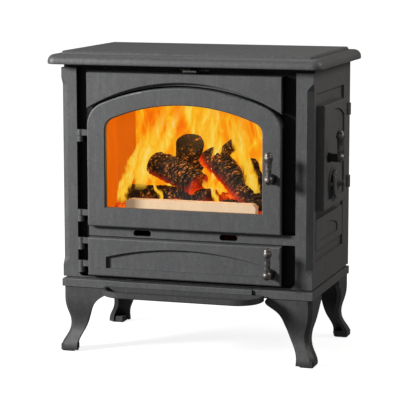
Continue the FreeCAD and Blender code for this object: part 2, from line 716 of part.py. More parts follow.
def tie_rods():
    """Four rods that clamp the top plate to the base, each with its nut below."""
    node("tie_rods", group(*[rod("z", (x, y, band_top - 12), d.rod_radius,
                                 d.body_top - band_top + 12) for x, y in rod_places()]))


def flue():
    """The rear flue collar, its rope gasket and the flange bolts."""
    face = d.body_depth
    seat = face + 2
    y_flange = seat + d.flange_thick
    outer = d.flue_radius + d.flue_wall
    ring = fuse(rod("y", (0, seat, d.flue_z), d.flange_radius, d.flange_thick),
                rod("y", (0, seat, d.flue_z), outer, d.flue_length))
    bore = rod("y", (0, seat - 1, d.flue_z), d.flue_radius, d.flue_length + 2)
    node("flue_collar", cut(ring, bore))
    gasket = cut(rod("y", (0, face, d.flue_z), d.flange_radius - 4, 2),
                 rod("y", (0, face - 1, d.flue_z), d.flue_radius, 4))
    node("flue_gasket", gasket)
    bolts = []
    for turn in range(4):
        angle = math.radians(45 + 90 * turn)
        x, z = d.flue_bolt_circle * math.cos(angle), d.flue_z + d.flue_bolt_circle * math.sin(angle)
        bolts.append(hexagon("y", (x, y_flange, z), 6, 5))
    node("flue_bolts", group(*bolts))


def hinge_lugs(x, y, levels, attach):
    """Door lugs above the split of each hinge; attach spans from the axis to the door."""
    lugs = []
    for z in levels:
        low = z + d.knuckle_gap / 2
        lugs.append(rod("z", (x, y, low), d.knuckle, d.lug_height))
        x_span, y_span = attach
        lugs.append(block(x_span, y_span, (low, low + d.lug_height)))
    return lugs


def hinge_pins(label, x, y, levels):
    """Fixed in the door lugs, free to turn in the frame lugs."""
    pins = [rod("z", (x, y, z - d.lug_height + 1), d.pin_radius, d.lug_height * 2 - 2)
            for z in levels]
    node(label, group(*pins))


def front_door():
    """The arched door casting: a face plate with a skirt behind it and the window."""
    levels = (d.hinge_high, d.hinge_low)
    shell = plate("front", arched(*DOOR), (door_face, skirt_back))
    shell = soften(shell, "Fillet", d.door_edge, at_plane("y", door_face))
    inside = plate("front", grown(DOOR, -d.door_skirt), (plate_back, skirt_back + 1))
    window = plate("front", arched(*WINDOW), (door_face - 1, plate_back + 1))
    face = soften(cut(shell, inside, window), "Chamfer", 2.5, window_edge)
    boss = rod("y", (handle_x, plate_back - 1, d.handle_z), 9, skirt_back - plate_back + 1)
    lugs = hinge_lugs(-hinge_x, -d.hinge_y, levels,
                      ((-hinge_x, -door_half + 1), (-d.hinge_y - 5.5, -d.hinge_y + 5.5)))
    bores = [rod("y", (handle_x, door_face - 1, d.handle_z),
                 d.spindle_radius + d.pin_clearance, 40)]
    bores += [rod("z", (-hinge_x, -d.hinge_y, z - 1), d.pin_radius, d.lug_height)
              for z in levels]
    node("front_door", cut(fuse(face, boss, *lugs), *bores))
    seal = cut(plate("front", grown(DOOR, -2.0), (skirt_back, d.recess_depth - d.seal_gap)),
               plate("front", grown(DOOR, -2 - d.seal_width), (skirt_back - 1, d.recess_depth)))
    node("front_door_seal", seal)
    hinge_pins("front_hinge_pins", -hinge_x, -d.hinge_y, levels)


def window_edge(edge):
    """The front rim of the window opening."""
    box = edge.BoundBox
    half, low = window_half.value + 0.1, d.window_bottom.value - 0.1
    flat = abs(box.YMin - door_face.value) < 0.01 and abs(box.YMax - door_face.value) < 0.01
    return flat and box.XMin > -half and box.XMax < half and box.ZMin > low


def glazing():
    """The window glass, its rope seal, the clips that hold it and their screws."""
    back = plate_back + 2
    pane = plate("front", grown(WINDOW, d.glass_margin), (back, back + d.glass_thick))
    node("front_glass", pane)
    rope = cut(plate("front", grown(WINDOW, d.glass_margin - 2), (plate_back, back)),
               plate("front", grown(WINDOW, 3.0), (plate_back - 1, back + 1)))
    node("glass_seal", rope)
    clips, screws = [], []
    edge = window_half + d.glass_margin
    behind = back + d.glass_thick
    spots = [(way, z) for way in (-1, 1) for z in (d.window_bottom + 25, d.window_bottom + 150)]
    for way, z in spots:
        x = way * (edge + 5)
        foot = way * (edge + 8.5)
        clips.append(fuse(block((x - 11, x + 11), (behind, behind + 2), (z - 8, z + 8)),
                          block((foot - 7, foot + 7), (plate_back, behind + 1),
                                (z - 8, z + 8))))
        x = way * (edge + 9)
        screws.append(rod("y", (x, behind + 2, z), 4, 2))
    node("glass_clips", group(*clips))
    node("glass_screws", group(*screws))


def ash_door():
    half, low, high = door_half, d.ash_bottom, d.ash_top
    levels = (d.ash_hinge_high, d.ash_hinge_low)
    shell = block((-half, half), (door_face, skirt_back), (low, high))
    shell = soften(shell, "Fillet", d.door_edge, at_plane("y", door_face))
    skirt = d.door_skirt
    inside = block((-half + skirt, half - skirt), (plate_back, skirt_back + 1),
                   (low + skirt, high - skirt))
    sunk = plate("front", bowed(-window_half, window_half, d.panel_bottom, d.panel_side,
                                d.panel_apex), (door_face - 1, door_face + d.panel_sink))
    boss = rod("y", (ash_handle_x, plate_back - 1, d.ash_handle_z), 11,
               skirt_back - plate_back + 1)
    lugs = hinge_lugs(-hinge_x, -d.hinge_y, levels,
                      ((-hinge_x, -half + 1), (-d.hinge_y - 5.5, -d.hinge_y + 5.5)))
    bores = [rod("y", (ash_handle_x, door_face - 1, d.ash_handle_z),
                 d.spindle_radius + d.pin_clearance, 40)]
    bores += [rod("z", (-hinge_x, -d.hinge_y, z - 1), d.pin_radius, d.lug_height)
              for z in levels]
    node("ash_door", cut(fuse(cut(shell, inside, sunk), boss, *lugs), *bores))
    seal = cut(block((-half + 2, half - 2), (skirt_back, d.recess_depth - d.seal_gap),
                     (low + 2, high - 2)),
               block((-half + 2 + d.seal_width, half - 2 - d.seal_width),
                     (skirt_back - 1, d.recess_depth + 1),
                     (low + 2 + d.seal_width - 2, high - 2 - d.seal_width + 2)))
    node("ash_door_seal", seal)
    hinge_pins("ash_hinge_pins", -hinge_x, -d.hinge_y, levels)


def side_door():
    """The loading door in the right side, with its seat for the air disc."""
    inner, face = half_width, half_width + d.side_door_proud
    front, back = d.side_door_front, side_door_back
    low, high = d.side_door_bottom, d.side_door_top
    levels = (d.side_hinge_high, d.side_hinge_low)
    shell = block((inner + d.seal_gap, face), (front, back), (low, high))
    shell = soften(shell, "Fillet", 3, at_plane("x", face))
    inside = block((inner - 1, face - 9), (front + 9, back - 9), (low + 9, high - 9))
    sunk = plate("side", bowed(d.side_panel_front, side_panel_back, d.side_panel_bottom,
                               d.side_panel_side, d.side_panel_apex),
                 (face - d.side_panel_sink, face + 1))
    seat = rod("x", (face - 8, d.disc_y, d.disc_z), d.disc_seat, 8)
    holes = [rod("x", (inner - 1, d.disc_y + y, d.disc_z + z), d.air_hole, 30)
             for y, z in ((0, d.air_hole_circle), (0, -d.air_hole_circle),
                          (d.air_hole_circle, 0), (-d.air_hole_circle, 0))]
    bosses = [rod("x", (inner + 4, y, z), 11, 12)
              for y, z in ((d.side_handle_y, d.side_handle_z), (d.disc_y, d.disc_z))]
    bores = [rod("x", (inner - 1, d.side_handle_y, d.side_handle_z),
                 d.spindle_radius + d.pin_clearance, 40),
             rod("x", (inner - 1, d.disc_y, d.disc_z), d.pin_radius + d.pin_clearance, 40)]
    bores += [rod("z", (face, side_hinge_y, z - 1), d.pin_radius, d.lug_height)
              for z in levels]
    lugs = hinge_lugs(face, side_hinge_y, levels,
                      ((face - 7.5, face - 1), (back - 1, side_hinge_y)))
    node("side_door", cut(fuse(cut(shell, inside, sunk), seat, *bosses, *lugs), *holes, *bores))
    inset, rope = 2, d.seal_width - 2
    sealing = (inner - d.side_recess + d.seal_gap, inner + d.seal_gap)
    seal = cut(block(sealing, (front + inset, back - inset), (low + inset, high - inset)),
               block((inner - 20, inner + 20), (front + inset + rope, back - inset - rope),
                     (low + inset + rope, high - inset - rope)))
    node("side_door_seal", seal)
    hinge_pins("side_hinge_pins", face, side_hinge_y, levels)


def handle(name, axis, door_at, depth, cam_way):
    """A door handle: a turned grip on a black neck, with its spindle, cam and nut.

    axis is the way in through the door, door_at is on the door's face, depth runs from that
    face to the cam, and cam_way is the unit direction that the cam points.
    """
    x, y, z = door_at
    inwards = {"y": (0, 1), "-x": (-1, 0)}[axis]
    turn, sign = ("y", 1) if axis == "y" else ("x", -1)

    def along(reach, length):
        """The low end of a rod that starts a reach in from the face and runs inwards."""
        start = reach if sign > 0 else reach + length
        return (x + inwards[0] * start, y + inwards[1] * start, z)

    rise = d.grip_rise - d.grip_knob
    ball, knob, bar = d.grip_ball, d.grip_knob, d.grip_bar
    join = ball * 0.85
    waist = bar - d.grip_waist
    profile = [(0, -ball), (ball, 0, -ball), (waist, join, -ball), (waist, join + 4),
               (bar, rise - 14), (knob, rise, -knob * 1.6), (0, rise + knob, -knob)]
    grip = turned("z", along(-d.grip_stand, 0), profile)
    node(f"{name}_handle_grip", grip)
    neck = fuse(rod(turn, along(-d.grip_stand, d.grip_stand - 0.3), d.neck_radius,
                    d.grip_stand - 0.3),
                rod(turn, along(-4.3, 4), d.neck_radius + 2.5, 4))
    node(f"{name}_handle_neck", cut(neck, grip))
    cam_end = depth + d.cam_thick
    node(f"{name}_spindle", group(rod(turn, along(-0.3, cam_end + 4.3), d.spindle_radius,
                                      cam_end + 4.3)))
    plate_low = along(depth, d.cam_thick)
    reach = d.cam_reach
    across = [(-6, reach) if way > 0 else (-reach, 6) if way < 0 else (-6, 6) for way in cam_way]
    spans = {"y": ((x + across[0][0], x + across[0][1]),
                   (plate_low[1], plate_low[1] + d.cam_thick)),
             "-x": ((plate_low[0], plate_low[0] + d.cam_thick),
                    (y + across[1][0], y + across[1][1]))}[axis]
    cam = block(spans[0], spans[1], (z - 6, z + 6))
    node(f"{name}_latch_cam", cut(cam, rod(turn, along(depth - 1, d.cam_thick + 2),
                                           d.spindle_radius, d.cam_thick + 2)))
    nut = hexagon(turn, along(cam_end, 4), d.nut_across, 4)
    node(f"{name}_latch_nut", cut(nut, rod(turn, along(cam_end - 1, 6), d.spindle_radius, 6)))


def handles():
    """Three handles of one pattern, each with its cam just inside the casing."""
    depth = d.door_proud + d.recess_depth + 1
    handle("front", "y", (handle_x, door_face, d.handle_z), depth, (1, 0))
    handle("ash", "y", (ash_handle_x, door_face, d.ash_handle_z), depth, (1, 0))
    handle("side", "-x", (half_width + d.side_door_proud, d.side_handle_y, d.side_handle_z),
           d.side_door_proud + d.side_recess + 1, (0, -1))


def air_controls():
    """The spin disc on the loading door and the sliding lever under the top plate."""
    face = half_width + d.side_door_proud
    low = face + d.disc_gap
    rim = rod("x", (low, d.disc_y, d.disc_z), d.disc_radius, d.disc_thick)
    rim = soften(rim, "Fillet", 2, at_plane("x", low + d.disc_thick))
    hub = rod("x", (low + d.disc_thick - 0.5, d.disc_y, d.disc_z), 10, 3)
    knob = rod("x", (low + d.disc_thick, d.disc_y, d.disc_z), d.disc_knob, d.disc_knob_length)
    knob = soften(knob, "Fillet", 2, at_plane("x", low + d.disc_thick + d.disc_knob_length))
    node("air_disc", cut(fuse(rim, hub, knob),
                         rod("x", (low - 1, d.disc_y, d.disc_z), d.pin_radius, 14)))
    node("air_disc_stud", group(rod("x", (half_width + 1, d.disc_y, d.disc_z), d.pin_radius,
                                    low + 13 - half_width - 1)))
    behind = d.frame_depth + 0.3
    slide = block((d.lever_x - d.slide_half, d.lever_x + d.slide_half), (behind, behind + 3),
                  (d.lever_z - 14, d.lever_z + 5))
    lever = block((d.lever_x - 7, d.lever_x + 7), (0, behind + 1),
                  (d.lever_z - d.lever_thick / 2, d.lever_z + d.lever_thick / 2))
    tip = block((d.lever_x - d.lever_width / 2, d.lever_x + d.lever_width / 2), (-12, 1),
                (d.lever_z - d.lever_thick / 2, d.lever_z + d.lever_thick / 2))
    node("air_slide", fuse(slide, lever, tip))


def check_and_write():
    """Stop on any failed object or shape, then write one file for each node."""
    failed = [f"{thing.Label} ({thing.Name}): {thing.State}" for thing in doc.Objects
              if "Invalid" in thing.State or "Error" in thing.State]
    failed += [f"{label} has no valid solid" for label, thing in nodes.items()
               if thing.Shape.isNull() or not thing.Shape.isValid() or not thing.Shape.Solids]
    if failed:
        raise RuntimeError("\n".join(failed))
    os.makedirs("parts", exist_ok=True)
    for label, thing in nodes.items():
        thing.Shape.exportStep(f"parts/{label}.step")


def shift_to_origin():
    """Move every sub-part so that the footprint's middle on the floor is the origin."""
    whole = FreeCAD.BoundBox()
    for thing in nodes.values():
        whole.add(thing.Shape.optimalBoundingBox(False, False))
    d.change("origin_x", (whole.XMin + whole.XMax) / 2)
    d.change("origin_y", (whole.YMin + whole.YMax) / 2)
    for thing in nodes.values():
        bind(thing, {"Placement.Base.x": -d.origin_x, "Placement.Base.y": -d.origin_y})
    doc.recompute()
    print("origin", (whole.XMin + whole.XMax) / 2, (whole.YMin + whole.YMax) / 2)
    print("size", whole.XLength, whole.YLength, whole.ZLength, "low", whole.ZMin)


def main():
    for build in (base_frame, legs, leg_bolts, ash_lip, ash_lip_screws, front_frame, arch_hood,
                  hood_screws, left_side_panel, right_side_panel, back_panel, inside_parts,
                  ash_pan, tie_rods, top_plate, flue, front_door, glazing, ash_door, side_door,
                  handles, air_controls):
        build()
    doc.recompute()
    shift_to_origin()
    check_and_write()


main()
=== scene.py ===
"""Looks of a free-standing cast-iron wood burning stove with a fire burning in it.

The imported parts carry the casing, doors, handles and fittings; this script gives every one
of them its finish and adds what burns: logs, coals and flames.
"""

import json
import logging
import math
from dataclasses import dataclass, field
from enum import Enum
from typing import Any, Callable, Iterable, Sequence

import bmesh
import bpy
from mathutils import Euler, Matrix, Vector, noise

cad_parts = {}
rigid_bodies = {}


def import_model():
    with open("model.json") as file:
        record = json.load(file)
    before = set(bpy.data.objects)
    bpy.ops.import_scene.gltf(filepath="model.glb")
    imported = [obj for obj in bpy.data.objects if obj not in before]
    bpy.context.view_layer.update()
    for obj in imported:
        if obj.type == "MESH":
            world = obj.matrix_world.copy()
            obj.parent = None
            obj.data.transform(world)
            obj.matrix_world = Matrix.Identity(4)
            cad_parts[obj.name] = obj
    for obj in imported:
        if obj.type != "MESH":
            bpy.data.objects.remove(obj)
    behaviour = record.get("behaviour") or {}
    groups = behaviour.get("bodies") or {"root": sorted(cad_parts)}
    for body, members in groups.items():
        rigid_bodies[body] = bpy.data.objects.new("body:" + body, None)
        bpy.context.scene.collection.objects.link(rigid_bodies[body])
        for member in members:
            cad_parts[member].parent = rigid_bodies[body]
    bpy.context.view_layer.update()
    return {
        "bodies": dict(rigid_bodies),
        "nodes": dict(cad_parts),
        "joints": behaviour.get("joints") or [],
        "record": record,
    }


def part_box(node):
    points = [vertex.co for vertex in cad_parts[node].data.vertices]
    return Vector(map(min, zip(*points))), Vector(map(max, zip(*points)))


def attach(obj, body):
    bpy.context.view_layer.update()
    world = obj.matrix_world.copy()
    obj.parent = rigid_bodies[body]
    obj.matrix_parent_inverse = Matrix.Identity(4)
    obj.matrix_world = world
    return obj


LOG = logging.getLogger("stove")
MM = 0.001
NOISE_SEED = 1
Colour = tuple[float, float, float]
Point = tuple[float, float, float]
# Near-black colour of the painted shade behind the front face.
PAINTED_SHADE: Colour = (0.0035, 0.0035, 0.0035)


class Body(Enum):
    """Bodies that pieces ride on."""

    STOVE = "stove"


class Value:
    """A number socket with Python's own arithmetic."""

    def __init__(self, shader: "Shader", socket: Any) -> None:
        """Wrap a socket of a shader's tree."""
        self.shader = shader
        self.socket = socket

    def _math(self, operation: str, *operands: Any) -> "Value":
        """Add one Math node.

        Args:
            operation: The Math node's operation.
            *operands: Its inputs, numbers or values.

        Returns:
            The result as a value.
        """
        settings = {"operation": operation}
        return self.shader.value("ShaderNodeMath", settings, dict(enumerate(operands)))

    def __add__(self, other: Any) -> "Value":
        """Sum."""
        return self._math("ADD", self, other)

    __radd__ = __add__

    def __sub__(self, other: Any) -> "Value":
        """Difference."""
        return self._math("SUBTRACT", self, other)

    def __rsub__(self, other: Any) -> "Value":
        """Difference, reflected."""
        return self._math("SUBTRACT", other, self)

    def __mul__(self, other: Any) -> "Value":
        """Product."""
        return self._math("MULTIPLY", self, other)

    __rmul__ = __mul__

    def __pow__(self, other: Any) -> "Value":
        """Power."""
        return self._math("POWER", self, other)

    def size(self) -> "Value":
        """Absolute value."""
        return self._math("ABSOLUTE", self)

    def sine(self) -> "Value":
        """Sine, in radians."""
        return self._math("SINE", self)

    def at_least(self, other: Any) -> "Value":
        """The larger of two."""
        return self._math("MAXIMUM", self, other)

    def step(self, low: float, high: float) -> "Value":
        """A smooth rise from 0 to 1 between two levels.

        Args:
            low: The level at which the rise starts.
            high: The level at which it ends.

        Returns:
            The risen value.
        """
        settings = {"interpolation_type": "SMOOTHSTEP"}
        inputs = {"Value": self, "From Min": low, "From Max": high, "To Min": 0.0, "To Max": 1.0}
        return self.shader.value("ShaderNodeMapRange", settings, inputs, "Result")


def shade(colour: Colour, share: float) -> Colour:
    """A colour made darker or brighter by a share."""
    return tuple(channel * share for channel in colour)


class Shader:
    """A material whose nodes are made through one method."""

    def __init__(self, name: str) -> None:
        """Start an empty material with a surface shader."""
        self.material = bpy.data.materials.new(name)
        self.material.use_nodes = True
        self.tree = self.material.node_tree
        self.tree.nodes.clear()
        self.output = self.tree.nodes.new("ShaderNodeOutputMaterial")

    def node(self, kind: str, settings: dict | None = None, inputs: dict | None = None) -> Any:
        """Create one node.

        Args:
            kind: The node's type.
            settings: Attributes, set first.
            inputs: Sockets by name or number, each a constant, a Value or a socket.

        Returns:
            The node.
        """
        made = self.tree.nodes.new(kind)
        for name, setting in (settings or {}).items():
            setattr(made, name, setting)
        for name, given in (inputs or {}).items():
            given = given.socket if isinstance(given, Value) else given
            if isinstance(given, bpy.types.NodeSocket):
                self.tree.links.new(given, made.inputs[name])
            else:
                made.inputs[name].default_value = given
        return made

    def value(self, kind: str, settings: dict | None = None, inputs: dict | None = None,
              output: Any = 0) -> Value:
        """Create one node and take one of its outputs as a value.

        Args:
            kind: The node's type.
            settings: Attributes, set first.
            inputs: Sockets by name or number.
            output: The output's name or number.

        Returns:
            That output.
        """
        return Value(self, self.node(kind, settings, inputs).outputs[output])

    def place(self, scale: Point = (1, 1, 1), shift: Point = (0, 0, 0)) -> Any:
        """Object coordinates, scaled and shifted."""
        raw = self.node("ShaderNodeTexCoord").outputs["Object"]
        return self.node("ShaderNodeMapping", None,
                         {"Vector": raw, "Scale": scale, "Location": shift}).outputs[0]

    def axes(self) -> list[Value]:
        """The three object coordinates, one value each."""
        parts = self.node("ShaderNodeSeparateXYZ", None, {"Vector": self.place()})
        return [Value(self, output) for output in parts.outputs]

    def attribute(self, name: str) -> Value:
        """A number that the mesh keeps for each vertex."""
        return self.value("ShaderNodeAttribute", {"attribute_name": name}, None, "Fac")

    def noise(self, where: Any, scale: float, detail: float = 3.0, rough: float = 0.55,
              bend: float = 0.0) -> Value:
        """Fractal noise from 0 to 1 at a place.

        Args:
            where: The place, as a vector socket.
            scale: How fine the pattern is.
            detail: Its number of octaves.
            rough: The weight of the finer octaves.
            bend: How far the pattern is distorted.

        Returns:
            The noise.
        """
        return self.value("ShaderNodeTexNoise", None, {
            "Vector": where, "Scale": scale, "Detail": detail, "Roughness": rough,
            "Distortion": bend})

    def cells(self, where: Any, scale: float) -> Value:
        """Distance to the nearest edge between cells."""
        return self.value("ShaderNodeTexVoronoi", {"feature": "DISTANCE_TO_EDGE"},
                          {"Vector": where, "Scale": scale})

    def mix(self, share: Any, low: Any, high: Any) -> Any:
        """Blend two colours, each a constant or a socket.

        Args:
            share: The factor, from 0 to 1.
            low: The colour at 0.
            high: The colour at 1.

        Returns:
            The colour socket.
        """
        made = self.node("ShaderNodeMix", {"data_type": "RGBA"})
        factor, first, second = made.inputs[0], made.inputs[6], made.inputs[7]
        for socket, given in ((factor, share), (first, low), (second, high)):
            given = given.socket if isinstance(given, Value) else given
            if isinstance(given, bpy.types.NodeSocket):
                self.tree.links.new(given, socket)
            elif isinstance(given, (int, float)):
                socket.default_value = given
            else:
                socket.default_value = (*given[:3], 1.0)
        return made.outputs[2]

    def ramp(self, share: Value, stops: Sequence[tuple[float, Colour]]) -> Any:
        """A colour ramp.

        Args:
            share: The factor.
            stops: Position and colour of each stop.

        Returns:
            The colour socket.
        """
        made = self.node("ShaderNodeValToRGB", None, {"Fac": share})
        elements = made.color_ramp.elements
        while len(elements) < len(stops):
            elements.new(0.5)
        for element, (position, colour) in zip(elements, stops):
            element.position = position
            element.color = (*colour, 1.0)
        return made.outputs[0]

    def bump(self, height: Value, strength: float, distance: float) -> Any:
        """A bumped normal."""
        return self.node("ShaderNodeBump", None, {
            "Height": height, "Strength": strength, "Distance": distance}).outputs[0]

    def principled(self, inputs: dict) -> bpy.types.Material:
        """Finish the material with one principled surface."""
        surface = self.node("ShaderNodeBsdfPrincipled", None, inputs)
        self.tree.links.new(surface.outputs[0], self.output.inputs[0])
        return self.material


@dataclass(frozen=True)
class PaintedIron:
    """Matt stove paint on a sand-cast skin.

    Painted shade, where set, holds the middle, the half width and the depth of its edge, in metres:
    behind that depth the colour is painted near black where shade falls.
    """

    name: str = "painted_iron"
    colour: Colour = (0.118, 0.121, 0.126)
    worn: Colour = (0.175, 0.177, 0.18)
    rough: float = 0.50
    grain: float = 0.34
    painted_shade: Point | None = None
    shade_is_inside: bool = True

    def with_painted_shade(self, shader: "Shader", tone: Any) -> Any:
        """Paint shade over what lies behind the front face, inside or outside a half width.

        Args:
            shader: The material's shader.
            tone: The paint's colour.

        Returns:
            The colour with painted shade.
        """
        middle, half, depth = self.painted_shade
        across, back, _ = shader.axes()
        edge, fade = 0.0004, 0.006
        # Painted shade mask: inside or outside the half width, and behind the given depth.
        side = (across - middle).size().step(half - edge, half + edge)
        side = 1 - side if self.shade_is_inside else side
        behind = back.step(depth - edge, depth + fade)
        return shader.mix(side * behind, tone, PAINTED_SHADE)

    def build(self) -> bpy.types.Material:
        """Make the material."""
        shader = Shader(self.name)
        where = shader.place()
        cloud = shader.noise(where, 7.0, 4.0)
        fine = shader.noise(where, 420.0, 3.0, 0.6)
        coarse = shader.noise(where, 90.0, 4.0, 0.6)
        streak = shader.noise(shader.place((30, 30, 6)), 4.0, 4.0, 0.65)
        tone = shader.mix(cloud.step(0.35, 0.7), shade(self.colour, 0.9), self.colour)
        pits = shader.noise(where, 210.0, 4.0, 0.7)
        tone = shader.mix((fine * streak).step(0.20, 0.42) * 0.62, tone, self.worn)
        tone = shader.mix(pits.step(0.52, 0.70) * 0.55, tone, shade(self.colour, 0.45))
        roughness = self.rough + (coarse - 0.5) * 0.30
        height = fine * 0.45 + coarse * 0.35 + pits * 0.4
        # Painted shade: colour darkened to near black behind the front face, where shade falls.
        if self.painted_shade:
            tone = self.with_painted_shade(shader, tone)
        return shader.principled({
            "Base Color": tone, "Roughness": roughness, "Metallic": 0.15,
            "Specular IOR Level": 0.5, "Normal": shader.bump(height, self.grain, 0.0012)})


@dataclass(frozen=True)
class DarkIron:
    """Bare iron and fixings darkened by heat."""

    name: str
    colour: Colour
    rough: float = 0.6
    metallic: float = 0.4

    def build(self) -> bpy.types.Material:
        """Make the material."""
        shader = Shader(self.name)
        where = shader.place()
        patches = shader.noise(where, 38.0, 4.0, 0.6)
        fine = shader.noise(where, 520.0, 2.0)
        tone = shader.mix(patches.step(0.4, 0.7), self.colour, shade(self.colour, 1.7))
        return shader.principled({
            "Base Color": tone, "Roughness": self.rough + (patches - 0.5) * 0.3,
            "Metallic": self.metallic, "Normal": shader.bump(fine, 0.25, 0.0006)})


@dataclass(frozen=True)
class TurnedPewter:
    """Antique pewter of the handles, turned bright with dark hollows."""

    name: str = "turned_pewter"
    bright: Colour = (0.30, 0.29, 0.28)
    dark: Colour = (0.10, 0.095, 0.09)

    def build(self) -> bpy.types.Material:
        """Make the material."""
        shader = Shader(self.name)
        patina = shader.noise(shader.place(), 130.0, 4.0, 0.65)
        rings = shader.noise(shader.place((60, 60, 900)), 3.0, 2.0)
        tone = shader.mix(patina.step(0.38, 0.66), self.dark, self.bright)
        return shader.principled({
            "Base Color": tone, "Metallic": 0.85, "Roughness": 0.33 + patina * 0.22,
            "Normal": shader.bump(rings + patina, 0.18, 0.0004)})


@dataclass(frozen=True)
class Board:
    """Pressed mineral board, with painted firelight from the fire in front of it."""

    name: str
    colour: Colour
    # Colour of the painted firelight, given as emission.
    glow: Colour
    strength: float

    def build(self) -> bpy.types.Material:
        """Make the material."""
        shader = Shader(self.name)
        flakes = shader.cells(shader.place((1, 1, 1.4)), 160.0)
        cloud = shader.noise(shader.place((5, 5, 1.6)), 7.0, 4.0)
        speck = shader.noise(shader.place(), 260.0, 3.0)
        dull = cloud.step(0.3, 0.72) * 0.35 + speck.step(0.3, 0.7) * 0.12
        tone = shader.mix(dull, self.colour, shade(self.colour, 0.72))
        light = shader.mix(dull * 0.8, self.glow, shade(self.glow, 0.72))
        return shader.principled({
            "Base Color": tone, "Roughness": 0.88, "Specular IOR Level": 0.15,
            "Emission Color": light, "Emission Strength": self.strength,
            "Normal": shader.bump(flakes.step(0.0, 0.35) + speck, 0.16, 0.0009)})


@dataclass(frozen=True)
class WindowGlass:
    """Clear heat-proof glass with a faint film."""

    name: str = "window_glass"

    def build(self) -> bpy.types.Material:
        """Make the material."""
        shader = Shader(self.name)
        film = shader.noise(shader.place(), 9.0, 4.0).step(0.35, 0.8)
        material = shader.principled({
            "Base Color": (0.1, 0.08, 0.06, 1.0), "Roughness": 0.08,
            "Alpha": film * 0.015 + 0.025, "Specular IOR Level": 0.3})
        material.blend_method = "BLEND"
        return material


@dataclass(frozen=True)
class RopeSeal:
    """Woven glass rope."""

    name: str = "rope_seal"
    colour: Colour = (0.035, 0.035, 0.04)

    def build(self) -> bpy.types.Material:
        """Make the material."""
        shader = Shader(self.name)
        weave = shader.noise(shader.place(), 480.0, 2.0)
        twill = (shader.noise(shader.place(), 60.0) * 40).sine()
        tone = shader.mix(weave, self.colour, shade(self.colour, 2.2))
        return shader.principled({
            "Base Color": tone, "Roughness": 0.95,
            "Normal": shader.bump(weave + twill * 0.3, 0.5, 0.0008)})


@dataclass(frozen=True)
class Char:
    """Charred log: black cracks between plates, with painted firelight on the plates."""

    name: str
    heat: float = 0.5

    def build(self) -> bpy.types.Material:
        """Make the material."""
        shader = Shader(self.name)
        plate, hot = shader.attribute("plate"), shader.attribute("hot")
        where = shader.place()
        speck = shader.noise(where, 190.0, 4.0, 0.7)
        patch = shader.noise(where, 26.0, 3.0)
        crack = shader.cells(shader.place(), 105.0).step(0.03, 0.22)
        # lit marks the raised plates: their brown bark tone, and the painted firelight on them
        # below.
        lit = plate.step(0.25, 0.9) * speck.step(0.30, 0.60) * patch.step(0.28, 0.60) * crack
        bark = shader.mix(lit, (0.006, 0.002, 0.001), (0.20, 0.07, 0.015))
        # Painted firelight: orange emission on the lit plates, standing in for the flames' light.
        flame = shader.mix(lit, (0.003, 0.001, 0.0), (0.44, 0.125, 0.012))
        glow = shader.ramp(speck * 0.5 + hot * 0.62, [
            (0.42, (0.03, 0.001, 0.0)), (0.62, (0.62, 0.02, 0.0)), (0.82, (1.0, 0.10, 0.005)),
            (1.0, (1.0, 0.45, 0.05))])
        light = shader.mix(hot.step(0.25, 0.75), flame, glow)
        return shader.principled({
            "Base Color": bark, "Roughness": 0.92, "Emission Color": light,
            "Emission Strength": self.heat,
            "Normal": shader.bump(speck + plate, 0.6, 0.0025)})


@dataclass(frozen=True)
class FlameCurtain:
    """The wall of fire at the back: orange haze with rising yellow filaments.

    Left of its left edge, in metres, it paints no flames but the lining's lit colour as emission:
    painted firelight.
    """

    name: str = "flame_curtain"
    strength: float = 1.0
    left_edge: float = -0.24

    def build(self) -> bpy.types.Material:
        """Make the material."""
        shader = Shader(self.name)
        drift = shader.noise(shader.place(), 5.0, 2.0)
        lean = shader.place((1.0, 1.0, 0.30))
        wide = shader.noise(lean, 9.0, 3.0, 0.5, 0.9)
        thin = shader.noise(shader.place((1, 1, 0.34), (0.37, 0, 0.2)), 17.0, 3.0, 0.5, 1.2)
        ridge = 1 - (wide - 0.5).size() * 5
        wisp = 1 - (thin - 0.5).size() * 6
        body = wide.step(0.42, 0.70) * 0.34 + drift * 0.30
        level = body + ridge.at_least(0) ** 3 * 0.42 + wisp.at_least(0) ** 3 * 0.34
        colour = shader.ramp(level, [
            (0.10, (0.82, 0.10, 0.0)), (0.32, (1.0, 0.19, 0.001)), (0.54, (1.0, 0.31, 0.003)),
            (0.78, (1.0, 0.52, 0.016)), (1.0, (1.0, 0.74, 0.12))])
        # Painted firelight: left of the flames the sheet shows the lining's lit colour as emission.
        beyond = shader.axes()[0].step(self.left_edge - 0.001, self.left_edge + 0.002)
        grain = shader.noise(shader.place((5, 5, 1.6)), 7.0, 4.0).step(0.3, 0.72)
        wall = shader.mix(grain, (0.76, 0.125, 0.001), (0.64, 0.10, 0.001))
        colour = shader.mix(beyond, wall, colour)
        return shader.principled({
            "Base Color": (0, 0, 0, 1), "Roughness": 1.0, "Specular IOR Level": 0.0,
            "Emission Color": colour, "Emission Strength": self.strength})


@dataclass(frozen=True)
class FlameTongue:
    """A thin flame: pale yellow in the middle, orange and clear at its edge."""

    name: str = "flame_tongue"
    strength: float = 1.0

    def build(self) -> bpy.types.Material:
        """Make the material."""
        shader = Shader(self.name)
        across, rise = shader.attribute("across"), shader.attribute("rise")
        flicker = shader.noise(shader.place((1, 1, 0.30)), 62.0, 3.0, 0.55, 0.9)
        core = across * 0.45 + flicker * 1.05 - 0.22
        colour = shader.ramp(core, [
            (0.12, (1.0, 0.26, 0.003)), (0.42, (1.0, 0.42, 0.008)), (0.68, (1.0, 0.60, 0.04)),
            (0.95, (1.0, 0.80, 0.22))])
        fade = (1 - rise).step(0.0, 0.45) * rise.step(0.0, 0.16)
        clear = (across * 0.8 + flicker * 1.2 - 0.62).step(0.02, 0.50) * fade
        material = shader.principled({
            "Base Color": (0, 0, 0, 1), "Roughness": 1.0, "Specular IOR Level": 0.0,
            "Emission Color": colour, "Emission Strength": self.strength, "Alpha": clear * 0.93})
        material.blend_method = "BLEND"
        return material


